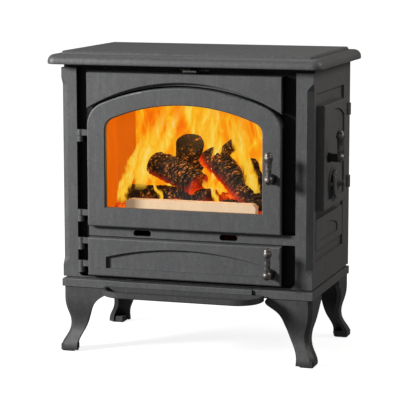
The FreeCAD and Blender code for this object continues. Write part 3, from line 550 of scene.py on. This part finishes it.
@dataclass(frozen=True)
class Coals:
    """Glowing embers, hottest between the lumps."""

    name: str = "coals"

    def build(self) -> bpy.types.Material:
        """Make the material."""
        shader = Shader(self.name)
        where = shader.place()
        heat = shader.noise(where, 30.0, 4.0, 0.6)
        ash = shader.noise(where, 150.0, 4.0, 0.7)
        glow = shader.ramp(heat * 0.75 + ash * 0.3, [
            (0.36, (0.012, 0.002, 0.0)), (0.5, (0.42, 0.018, 0.0)), (0.62, (1.0, 0.13, 0.004)),
            (0.8, (1.0, 0.55, 0.06))])
        tone = shader.mix(ash, (0.01, 0.006, 0.004), (0.12, 0.05, 0.02))
        return shader.principled({
            "Base Color": tone, "Roughness": 0.95, "Emission Color": glow,
            "Emission Strength": 1.0, "Normal": shader.bump(ash, 0.6, 0.002)})


class Datum:
    """The stove's own drawing frame: middle of the front face, floor level, millimetres."""

    FRAME_DEPTH = 26.0

    def __init__(self) -> None:
        """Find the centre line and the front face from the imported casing."""
        low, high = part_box("back_panel")
        self.middle = (low.x + high.x) / 2
        side_low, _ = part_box("left_side_panel")
        self.front = side_low.y - self.FRAME_DEPTH * MM

    def at(self, x: float, y: float, z: float) -> Vector:
        """A drawing point in the row frame, in metres."""
        return Vector((self.middle + x * MM, self.front + y * MM, z * MM))


def new_piece(name: str, points: Iterable[Vector], faces: Iterable[Sequence[int]],
              material: bpy.types.Material, smooth: bool = True) -> bpy.types.Object:
    """Make an object from points and faces.

    Args:
        name: The piece's name.
        points: Its vertices in the row frame.
        faces: Vertex numbers of each face.
        material: Its finish.
        smooth: Whether its faces are shaded smooth.

    Returns:
        The linked object.
    """
    mesh = bpy.data.meshes.new(name)
    mesh.from_pydata([tuple(point) for point in points], [], [tuple(face) for face in faces])
    mesh.materials.append(material)
    mesh.update()
    mesh.polygons.foreach_set("use_smooth", [smooth] * len(mesh.polygons))
    piece = bpy.data.objects.new(name, mesh)
    bpy.context.scene.collection.objects.link(piece)
    return piece


def grid_faces(columns: int, rows: int) -> list[tuple[int, int, int, int]]:
    """Faces of a sheet whose points run along each row in turn.

    Args:
        columns: Faces in a row.
        rows: Number of rows.

    Returns:
        Vertex numbers of each face.
    """
    width = columns + 1
    return [(row * width + column, row * width + column + 1,
             (row + 1) * width + column + 1, (row + 1) * width + column)
            for row in range(rows) for column in range(columns)]


def clamped(share: float) -> float:
    """A number kept between 0 and 1."""
    return max(0.0, min(1.0, share))


def store(piece: bpy.types.Object, name: str, values: Sequence[float]) -> None:
    """Keep one number for each vertex, for the finish to read."""
    attribute = piece.data.attributes.new(name, "FLOAT", "POINT")
    attribute.data.foreach_set("value", values)


@dataclass
class Log:
    """One burning log: a rough, cracked, slightly bent billet.

    It glows by hot_low underneath and by hot_end at its far end. Lengths are millimetres.
    """

    name: str
    start: Point
    end: Point
    radius: float
    seed: int
    hot_low: float = 0.35
    hot_end: float = 0.0
    flat: float = 0.84
    rings: int = 96
    spokes: int = 72
    bend: float = 0.08
    grain: float = 0.020
    lumps: float = 0.16
    cracks: float = 0.13
    bulge: float = 0.05
    cap_plate: float = 0.35
    hot_from: float = 0.80

    def surface(self, turn: float, distance: float) -> tuple[float, float]:
        """How lumpy and how cracked the bark is at a place.

        Args:
            turn: The angle around the log.
            distance: The distance along it, in millimetres.

        Returns:
            The lump, about zero, and the plate, from 0 in a crack to 1 between cracks.
        """
        shift = Vector((self.seed * 3.1, self.seed * 1.7, self.seed * 2.3))
        around = Vector((math.cos(turn), math.sin(turn), 0)) * self.radius * self.grain
        spot = around + Vector((0, 0, distance * self.grain)) + shift
        lump = noise.fractal(spot * 0.75, 1.0, 2.0, 3)
        cell = Vector((spot.x * 1.9, spot.y * 1.9, spot.z * 4.4))
        near = noise.voronoi(cell + noise.noise_vector(spot * 2.5) * 0.45)[0]
        return lump, clamped((near[1] - near[0]) * 2.8)

    def closing(self, share: float) -> tuple[float, float]:
        """How far the log is from its ends, from 0 to 1, and how much it narrows there."""
        closing = min(1.0, min(share, 1 - share) * self.rings / 5)
        if closing > 0:
            return closing, math.sqrt(1 - (1 - closing) ** 2) * 0.10 + 0.90
        return closing, 0.82

    def heat(self, share: float, upward: float, lump: float) -> float:
        """How hot the bark is, from 0 to 1.

        Args:
            share: The place along the log.
            upward: How far the bark faces up.
            lump: The bark's lump.

        Returns:
            The heat.
        """
        low = (0.5 - upward * 0.6) * self.hot_low * 1.6
        end = max(0.0, share - self.hot_from) * 5 * self.hot_end
        return clamped(low + end + lump * 0.25)

    def build(self, datum: Datum, finish: bpy.types.Material) -> bpy.types.Object:
        """Make the log's mesh.

        Args:
            datum: The drawing frame.
            finish: Its material.

        Returns:
            The log.
        """
        start, end = datum.at(*self.start), datum.at(*self.end)
        along = (end - start).normalized()
        side = along.cross(Vector((0, 0, 1))).normalized()
        lift = side.cross(along).normalized()
        length = (end - start).length
        radius = self.radius * MM
        points, plates, heats = [], [], []
        for ring in range(self.rings + 1):
            share = ring / self.rings
            closing, taper = self.closing(share)
            centre = start + along * (length * share)
            centre += lift * (math.sin(share * math.pi) * radius * self.bend)
            for spoke in range(self.spokes):
                turn = 2 * math.pi * spoke / self.spokes
                way = side * math.cos(turn) + lift * math.sin(turn) * self.flat
                lump, plate = self.surface(turn, length * share / MM)
                rise = 1 + lump * self.lumps - (1 - plate) ** 2 * self.cracks * closing
                points.append(centre + way * (radius * rise * taper))
                plates.append(plate)
                heats.append(self.heat(share, way.z, lump))
        faces = []
        for ring in range(self.rings):
            for spoke in range(self.spokes):
                after = (spoke + 1) % self.spokes
                a, b = ring * self.spokes, (ring + 1) * self.spokes
                faces.append((a + spoke, b + spoke, b + after, a + after))
        ends = ((0, start, -self.bulge, self.hot_low * 0.6),
                (self.rings, end, self.bulge, self.hot_end))
        for ring, middle, bulge, heat in ends:
            hub = len(points)
            points.append(middle + along * (radius * bulge))
            plates.append(self.cap_plate)
            heats.append(heat)
            for spoke in range(self.spokes):
                here = ring * self.spokes + spoke
                after = ring * self.spokes + (spoke + 1) % self.spokes
                faces.append((here, after, hub) if ring == 0 else (after, here, hub))
        piece = new_piece(self.name, points, faces, finish)
        recalculate_outside(piece)
        store(piece, "plate", plates)
        store(piece, "hot", heats)
        return piece


def recalculate_outside(piece: bpy.types.Object) -> None:
    """Point every face of a closed mesh outwards."""
    work = bmesh.new()
    work.from_mesh(piece.data)
    bmesh.ops.recalc_face_normals(work, faces=work.faces)
    work.to_mesh(piece.data)
    work.free()


@dataclass
class Tongue:
    """One flame: a waving sheet that narrows to a tip, in millimetres."""

    name: str
    route: Sequence[Point]
    widths: Sequence[float]
    seed: int
    steps: int = 46
    strips: int = 12
    sway: float = 7.0
    depth: float = 9.0

    @staticmethod
    def span(share: float, spans: int) -> tuple[int, float]:
        """The number of the span that a share falls in, and how far along it that is."""
        place = min(share * spans, spans - 1e-6)
        return int(place), place - int(place)

    def centre(self, share: float) -> Vector:
        """Find a point of the route, smoothed through its stations.

        Args:
            share: How far along the route it is.

        Returns:
            The point, in millimetres.
        """
        spans = len(self.route) - 1
        number, local = self.span(share, spans)
        before, here, after, beyond = (Vector(self.route[max(0, min(spans, number + offset))])
                                       for offset in (-1, 0, 1, 2))
        return 0.5 * (2 * here + (after - before) * local
                      + (2 * before - 5 * here + 4 * after - beyond) * local ** 2
                      + (3 * here - before - 3 * after + beyond) * local ** 3)

    def width(self, share: float) -> float:
        """The sheet's width along the route."""
        number, local = self.span(share, len(self.widths) - 1)
        local = local * local * (3 - 2 * local)
        return self.widths[number] * (1 - local) + self.widths[number + 1] * local

    def build(self, datum: Datum, finish: bpy.types.Material) -> bpy.types.Object:
        """Make the flame's mesh.

        Args:
            datum: The drawing frame.
            finish: Its material.

        Returns:
            The flame.
        """
        points, across, rises = [], [], []
        for step in range(self.steps + 1):
            share = step / self.steps
            middle = self.centre(share)
            ahead = self.centre(min(1.0, share + 0.01)) - self.centre(max(0.0, share - 0.01))
            side = Vector((ahead.z, 0, -ahead.x)).normalized()
            for strip in range(self.strips + 1):
                offset = 2 * strip / self.strips - 1
                wave = noise.noise(Vector((share * 4.5, offset * 1.2, self.seed * 5.3)))
                curl = Vector((wave * self.sway, wave * self.depth, 0))
                spot = middle + side * (offset * self.width(share) / 2) + curl
                points.append(datum.at(*spot))
                across.append(1 - abs(offset))
                rises.append(share)
        piece = new_piece(self.name, points, grid_faces(self.strips, self.steps), finish)
        store(piece, "across", across)
        store(piece, "rise", rises)
        return piece


@dataclass
class CoalBed:
    """A bed of embers scattered over the grate, in millimetres."""

    half_width: float = 205.0
    front: float = 66.0
    back: float = 300.0
    level: float = 338.0
    coal: float = 13.0
    density: float = 5200.0
    seed: int = 4
    columns: int = 44
    rows: int = 26
    heap: float = 26.0
    rough: float = 6.0

    def ground(self, datum: Datum, finish: bpy.types.Material) -> bpy.types.Object:
        """Make the heaped surface that the coals lie on.

        Args:
            datum: The drawing frame.
            finish: Its material.

        Returns:
            The surface.
        """
        points = []
        for row in range(self.rows + 1):
            for column in range(self.columns + 1):
                u, v = 2 * column / self.columns - 1, row / self.rows
                x = u * self.half_width
                y = self.front + v * (self.back - self.front)
                heap = self.heap * (1 - u * u) * math.sin(math.pi * min(1.0, v + 0.15))
                rough = self.rough * noise.noise(Vector((x * 0.04, y * 0.04, 0.5)))
                points.append(datum.at(x, y, self.level + max(-self.rough, heap + rough)))
        return new_piece("ember_ground", points, grid_faces(self.columns, self.rows), finish)

    def tree(self, finish: bpy.types.Material) -> bpy.types.NodeTree:
        """Make the node tree that scatters rough coals over a surface.

        Args:
            finish: The coals' material.

        Returns:
            The tree, with inputs for the coals' density and radius.
        """
        tree = bpy.data.node_groups.new("ScatterCoals", "GeometryNodeTree")
        for name, way, kind in (("Geometry", "INPUT", "NodeSocketGeometry"),
                                ("Density", "INPUT", "NodeSocketFloat"),
                                ("Coal Radius", "INPUT", "NodeSocketFloat"),
                                ("Geometry", "OUTPUT", "NodeSocketGeometry")):
            tree.interface.new_socket(name, in_out=way, socket_type=kind)

        def add(kind: str, settings: dict | None = None, inputs: dict | None = None) -> Any:
            """Create one node.

            Args:
                kind: The node's type.
                settings: Attributes, set first.
                inputs: Sockets by name or number, each a constant or a socket.

            Returns:
                The node.
            """
            made = tree.nodes.new(kind)
            for name, setting in (settings or {}).items():
                setattr(made, name, setting)
            for name, given in (inputs or {}).items():
                if isinstance(given, bpy.types.NodeSocket):
                    tree.links.new(given, made.inputs[name])
                else:
                    made.inputs[name].default_value = given
            return made

        entry = add("NodeGroupInput").outputs
        points = add("GeometryNodeDistributePointsOnFaces", None, {
            "Mesh": entry["Geometry"], "Density": entry["Density"], "Seed": self.seed})
        ball = add("GeometryNodeMeshIcoSphere", None, {
            "Radius": entry["Coal Radius"], "Subdivisions": 2})
        vector = {"data_type": "FLOAT_VECTOR"}
        turn = add("FunctionNodeRandomValue", vector, {
            1: (6.28, 6.28, 6.28), "Seed": self.seed + 1})
        scale = add("FunctionNodeRandomValue", vector, {
            0: (0.5, 0.5, 0.45), 1: (1.35, 1.2, 1.0), "Seed": self.seed + 2})
        placed = add("GeometryNodeInstanceOnPoints", None, {
            "Points": points.outputs["Points"], "Instance": ball.outputs["Mesh"],
            "Rotation": turn.outputs[0], "Scale": scale.outputs[0]})
        real = add("GeometryNodeRealizeInstances", None, {
            "Geometry": placed.outputs["Instances"]})
        rough = add("ShaderNodeTexNoise", None, {"Scale": 70.0, "Detail": 2.0})
        centred = add("ShaderNodeVectorMath", {"operation": "SUBTRACT"}, {
            0: rough.outputs["Color"], 1: (0.5, 0.5, 0.5)})
        amount = add("ShaderNodeVectorMath", {"operation": "SCALE"}, {
            0: centred.outputs[0], "Scale": 0.016})
        shaped = add("GeometryNodeSetPosition", None, {
            "Geometry": real.outputs[0], "Offset": amount.outputs[0]})
        dressed = add("GeometryNodeSetMaterial", None, {
            "Geometry": shaped.outputs[0], "Material": finish})
        add("NodeGroupOutput", None, {0: dressed.outputs[0]})
        return tree

    def build(self, datum: Datum, finish: bpy.types.Material) -> list[bpy.types.Object]:
        """Make the ground and the coals on it, as plain meshes.

        Args:
            datum: The drawing frame.
            finish: Their material.

        Returns:
            Both pieces.
        """
        ground = self.ground(datum, finish)
        carrier = ground.copy()
        carrier.data = ground.data.copy()
        bpy.context.scene.collection.objects.link(carrier)
        modifier = carrier.modifiers.new("coals", "NODES")
        modifier.node_group = self.tree(finish)
        named = {item.name: item.identifier for item in modifier.node_group.interface.items_tree
                 if item.in_out == "INPUT"}
        modifier[named["Density"]] = self.density
        modifier[named["Coal Radius"]] = self.coal * MM
        graph = bpy.context.evaluated_depsgraph_get()
        mesh = bpy.data.meshes.new_from_object(carrier.evaluated_get(graph))
        mesh.name = "ember_coals"
        coals = bpy.data.objects.new("ember_coals", mesh)
        bpy.data.objects.remove(carrier)
        bpy.context.scene.collection.objects.link(coals)
        return [ground, coals]


@dataclass
class Fire:
    """Everything that burns behind the window."""

    logs: Sequence[Log] = field(default_factory=lambda: (
        Log("log_left", (-114, 118, 450), (8, 88, 400), 36, 1, hot_low=0.30, hot_end=0.48),
        Log("log_back", (-66, 232, 424), (-40, 160, 492), 34, 2, hot_low=0.02, flat=0.95),
        Log("log_right", (2, 196, 462), (164, 84, 342), 34, 3, hot_low=0.62, hot_end=0.2),
        Log("log_far_right", (104, 170, 450), (162, 100, 356), 22, 4, hot_low=0.40),
        Log("log_small", (12, 240, 452), (62, 214, 492), 17, 5, hot_low=0.05),
        Log("log_low", (-196, 138, 362), (40, 84, 366), 33, 6, hot_low=0.45, hot_end=0.4),
        Log("log_under", (64, 84, 352), (206, 110, 346), 24, 7, hot_low=0.8, hot_end=0.4),
    ))
    tongues: Sequence[Tongue] = field(default_factory=lambda: (
        Tongue("flame_left_a", [(-178, 84, 352), (-182, 88, 380), (-166, 92, 420),
                                (-160, 94, 450)], [34, 26, 14, 3], 1),
        Tongue("flame_left_b", [(-148, 100, 380), (-140, 108, 430), (-126, 112, 490),
                                (-100, 116, 545), (-74, 120, 600)], [30, 58, 64, 44, 14], 2),
        Tongue("flame_left_c", [(-142, 150, 400), (-118, 156, 470), (-84, 160, 530),
                                (-58, 166, 592)], [40, 52, 40, 12], 3),
        Tongue("flame_middle_a", [(6, 230, 430), (-4, 236, 500), (4, 240, 550), (-10, 240, 596)],
               [46, 60, 50, 20], 4),
        Tongue("flame_middle_b", [(28, 150, 400), (20, 158, 450), (34, 168, 500),
                                  (50, 176, 540)], [22, 26, 22, 6], 5),
        Tongue("flame_right_a", [(150, 92, 372), (128, 106, 420), (104, 118, 480),
                                 (98, 128, 540), (108, 130, 596)], [20, 40, 44, 40, 16], 6),
        Tongue("flame_right_b", [(120, 180, 430), (150, 186, 500), (140, 190, 560),
                                 (148, 190, 600)], [36, 46, 34, 12], 7),
        Tongue("flame_left_d", [(-196, 92, 350), (-190, 96, 386), (-172, 100, 430),
                                (-150, 104, 486), (-136, 108, 520)], [16, 30, 30, 20, 4], 10),
        Tongue("flame_middle_c", [(-24, 262, 470), (-40, 264, 520), (-30, 266, 560),
                                  (-44, 268, 606)], [30, 44, 34, 12], 11),
        Tongue("flame_right_c", [(96, 140, 440), (84, 150, 480), (70, 158, 520), (62, 160, 556)],
               [14, 24, 20, 4], 12),
        Tongue("flame_gap", [(34, 92, 366), (24, 90, 392), (16, 92, 420)], [10, 15, 3], 13),
        Tongue("flame_front", [(60, 78, 352), (44, 80, 384), (22, 84, 414)], [12, 18, 5], 8),
        Tongue("flame_low", [(-80, 74, 352), (-92, 78, 384), (-120, 84, 420), (-136, 88, 452)],
               [12, 16, 14, 3], 9),
    ))
    curtain_level: float = 312.0
    curtain_top: float = 626.0
    curtain_depth: float = 300.0
    curtain_bow: float = 34.0
    curtain_ripple: float = 5.0
    curtain_gap: float = 6.0
    flames_from: float = -222.0

    def curtain(self, datum: Datum) -> bpy.types.Object:
        """Make the sheet of fire in front of the rear lining, which bows forward at its sides.

        Args:
            datum: The drawing frame.

        Returns:
            The sheet.
        """
        finish = FlameCurtain(left_edge=datum.at(self.flames_from, 0, 0).x).build()
        low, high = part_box("brick_rear")
        half = (high.x - low.x) / 2 / MM - self.curtain_gap
        columns, rows = 60, 30
        points = []
        for row in range(rows + 1):
            for column in range(columns + 1):
                u, v = 2 * column / columns - 1, row / rows
                bow = self.curtain_bow * abs(u) ** 3
                ripple = self.curtain_ripple * noise.noise(Vector((u * 6, v * 3, 1.0)))
                y = self.curtain_depth - bow + ripple
                z = self.curtain_level + v * (self.curtain_top - self.curtain_level)
                points.append(datum.at(u * half, y, z))
        return new_piece("flame_curtain", points, grid_faces(columns, rows), finish)

    def build(self, datum: Datum) -> list[bpy.types.Object]:
        """Make all logs, coals and flames, which stay on the stove's body.

        Args:
            datum: The drawing frame.

        Returns:
            The pieces.
        """
        char = Char("charred_wood", 1.0).build()
        flame = FlameTongue().build()
        pieces = [self.curtain(datum)]
        pieces += [log.build(datum, char) for log in self.logs]
        pieces += [tongue.build(datum, flame) for tongue in self.tongues]
        pieces += CoalBed().build(datum, Coals().build())
        for piece in pieces:
            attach(piece, Body.STOVE.value)
        return pieces


@dataclass
class Casing:
    """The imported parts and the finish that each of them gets."""

    finishes: dict[str, Callable[[], bpy.types.Material]] = field(default_factory=lambda: {
        "cast_iron_body": PaintedIron().build,
        "cast_iron_door": PaintedIron("painted_iron_doors").build,
        "bare_iron": DarkIron("bare_iron", (0.045, 0.040, 0.036), 0.75).build,
        # The fire lining glows with painted firelight.
        "fire_board": Board("fire_lining", (0.16, 0.07, 0.02), (0.80, 0.125, 0.001), 0.92).build,
        "handle_steel": TurnedPewter().build,
        "black_steel": DarkIron("black_neck", (0.008, 0.008, 0.009), 0.45, 0.2).build,
        "steel_fixings": DarkIron("dark_steel", (0.10, 0.10, 0.105), 0.42, 0.8).build,
        "sheet_steel": DarkIron("pan_steel", (0.16, 0.16, 0.17), 0.4, 0.8).build,
        "window_glass": WindowGlass().build,
        "rope_seal": RopeSeal().build,
    })
    # Where the painted shade of the recess and of the sides of the hood and doors starts, in
    # millimetres.
    recess_inset: float = 25.2
    recess_depth: float = 3.0
    skirt_inset: float = 0.7
    skirt_depth: float = 14.0
    # A darker copy of the paint for the legs and the ash lip: painted shade below the base band.
    low_shade_colour: Colour = (0.072, 0.074, 0.077)
    low_shade_worn: Colour = (0.115, 0.116, 0.118)

    def dress(self, frame: dict, datum: Datum) -> None:
        """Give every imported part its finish.

        Args:
            frame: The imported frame.
            datum: The drawing frame.
        """
        slots = {part["node"]: part["material_slot"] for part in frame["record"]["subparts"]}
        made = {slot: build() for slot, build in self.finishes.items()}
        # The retainer board's faint emission is painted light on its face.
        beige = Board("retainer_board", (0.86, 0.66, 0.44), (0.80, 0.52, 0.32), 0.34).build()
        low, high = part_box("hearth_plate")
        inner = (high.x - low.x) / 2 - self.recess_inset * MM
        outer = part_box("arch_hood")[1].x - datum.middle - self.skirt_inset * MM
        # Painted shade: the recess round the doors is near black behind its depth.
        recess = PaintedIron("painted_iron_recess_shade", painted_shade=(
            datum.middle, inner, datum.front + self.recess_depth * MM)).build()
        # Painted shade: the sides of the hood and doors are near black behind their front faces.
        skirt = PaintedIron("painted_iron_skirt_shade", painted_shade=(
            datum.middle, outer, datum.front - self.skirt_depth * MM), shade_is_inside=False).build()
        # Painted shade: the darker copy of the paint for the legs and the ash lip.
        shaded = PaintedIron("painted_iron_low_shade", self.low_shade_colour, self.low_shade_worn).build()
        special = {"log_retainer": beige, "front_frame": recess, "arch_hood": skirt,
                   "front_door": skirt, "ash_door": skirt, "ash_lip": shaded}
        special |= {name: shaded for name in slots
                    if name.startswith("leg_") and name != "leg_bolts"}
        for name, piece in frame["nodes"].items():
            material = special.get(name, made[slots[name]])
            for slot in piece.material_slots:
                slot.material = material
            LOG.info("dressed %s with %s", name, material.name)


def link(name: str, data: bpy.types.ID) -> bpy.types.Object:
    """Put a light or a camera in the scene."""
    made = bpy.data.objects.new(name, data)
    bpy.context.scene.collection.objects.link(made)
    return made


@dataclass(frozen=True)
class Softbox:
    """A square light, in metres and watts, that faces a point."""

    name: str
    place: Point
    aim: Point
    width: float
    power: float
    colour: Colour

    def build(self) -> None:
        """Add the light to the scene."""
        data = bpy.data.lights.new(self.name, "AREA")
        data.size = self.width
        data.energy = self.power
        data.color = self.colour
        lamp = link(self.name, data)
        lamp.location = self.place
        way = Vector(self.aim) - Vector(self.place)
        lamp.rotation_euler = way.to_track_quat("-Z", "Y").to_euler()


@dataclass(frozen=True)
class Glow:
    """A small warm light among the logs, placed in millimetres."""

    name: str
    place: Point
    power: float
    colour: Colour = (1.0, 0.55, 0.18)
    radius: float = 0.05

    def build(self, datum: Datum) -> None:
        """Add the light to the scene."""
        data = bpy.data.lights.new(self.name, "POINT")
        data.energy = self.power
        data.color = self.colour
        data.shadow_soft_size = self.radius
        link(self.name, data).location = datum.at(*self.place)


@dataclass
class Studio:
    """Pale floor, soft lights and the camera."""

    camera: Point = (1326.77, -4024.56, 1008.26)
    yaw: float = 17.52
    pitch: float = 8.7
    lens: float = 159.27
    sensor: float = 36.0
    fill: float = 0.12
    surround: float = 1.05
    floor_reach: float = 60.0
    floor_drop: float = 0.0005
    lights: Sequence[Softbox] = (
        Softbox("key", (-3.0, -2.5, 1.75), (0.0, 0.0, 0.42), 0.8, 205, (1.0, 0.99, 0.98)),
        Softbox("warm_fill", (1.45, 0.15, 1.5), (0.3, 0.0, 0.5), 0.7, 10, (1.0, 0.92, 0.84)),
        Softbox("top_fill", (-0.4, 1.6, 3.2), (0.0, 0.0, 0.42), 1.4, 12, (1.0, 0.97, 0.94)),
    )
    glows: Sequence[Glow] = (Glow("glow_back", (0, 180, 560), 0.9),
                             Glow("glow_front", (-60, 52, 500), 0.3))

    def floor(self) -> None:
        """A wide white floor that does not light the stove from below."""
        shader = Shader("floor_white")
        tint = shader.noise(shader.place(), 0.8, 2.0)
        tone = shader.mix(tint, (0.40, 0.40, 0.40), (0.42, 0.42, 0.42))
        x, y, _ = shader.axes()
        # Painted shade: the floor's glow is darker near the stove; the lamps' real light makes up
        # the difference outside the shadows.
        away = (x * x + y * y) ** 0.5
        light = shader.mix(away.step(0.5, 2.6), (0.87, 0.87, 0.875), (0.99, 0.99, 0.99))
        finish = shader.principled({
            "Base Color": tone, "Roughness": 1.0, "Specular IOR Level": 0.0,
            "Emission Color": light, "Emission Strength": 1.0})
        corners = [Vector((x * self.floor_reach, y * self.floor_reach, -self.floor_drop))
                   for x, y in ((-1, -1), (1, -1), (1, 1), (-1, 1))]
        floor = new_piece("floor", corners, [(0, 1, 2, 3)], finish, smooth=False)
        floor.visible_diffuse = False
        floor.visible_glossy = False

    def world(self) -> None:
        """A white surround that gives only a little fill."""
        world = bpy.data.worlds.new("studio")
        world.use_nodes = True
        nodes, links = world.node_tree.nodes, world.node_tree.links
        nodes.clear()
        output = nodes.new("ShaderNodeOutputWorld")
        path = nodes.new("ShaderNodeLightPath")
        fill = nodes.new("ShaderNodeBackground")
        fill.inputs["Color"].default_value = (1.0, 0.98, 0.96, 1.0)
        fill.inputs["Strength"].default_value = self.fill
        white = nodes.new("ShaderNodeBackground")
        white.inputs["Strength"].default_value = self.surround
        blend = nodes.new("ShaderNodeMixShader")
        links.new(path.outputs["Is Camera Ray"], blend.inputs[0])
        links.new(fill.outputs[0], blend.inputs[1])
        links.new(white.outputs[0], blend.inputs[2])
        links.new(blend.outputs[0], output.inputs[0])
        bpy.context.scene.world = world

    def shoot(self, datum: Datum) -> None:
        """Add the camera and make it the scene's own.

        Args:
            datum: The drawing frame.
        """
        data = bpy.data.cameras.new("camera")
        data.lens = self.lens
        data.sensor_width = self.sensor
        camera = link("camera", data)
        camera.location = datum.at(*self.camera)
        camera.rotation_euler = Euler((math.radians(90 - self.pitch), 0, math.radians(self.yaw)))
        bpy.context.scene.camera = camera
        bpy.context.scene.view_settings.view_transform = "Standard"

    def build(self, datum: Datum) -> None:
        """Set up the glow of the fire, floor, surround, lights and camera.

        Args:
            datum: The drawing frame.
        """
        for glow in self.glows:
            glow.build(datum)
        self.floor()
        self.world()
        for light in self.lights:
            light.build()
        self.shoot(datum)


def main() -> None:
    """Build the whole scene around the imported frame."""
    logging.basicConfig(level=logging.INFO)
    noise.seed_set(NOISE_SEED)
    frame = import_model()
    datum = Datum()
    Casing().dress(frame, datum)
    for piece in Fire().build(datum):
        LOG.info("built %s with %d faces", piece.name, len(piece.data.polygons))
    Studio().build(datum)


if __name__ == "__main__":
    main()
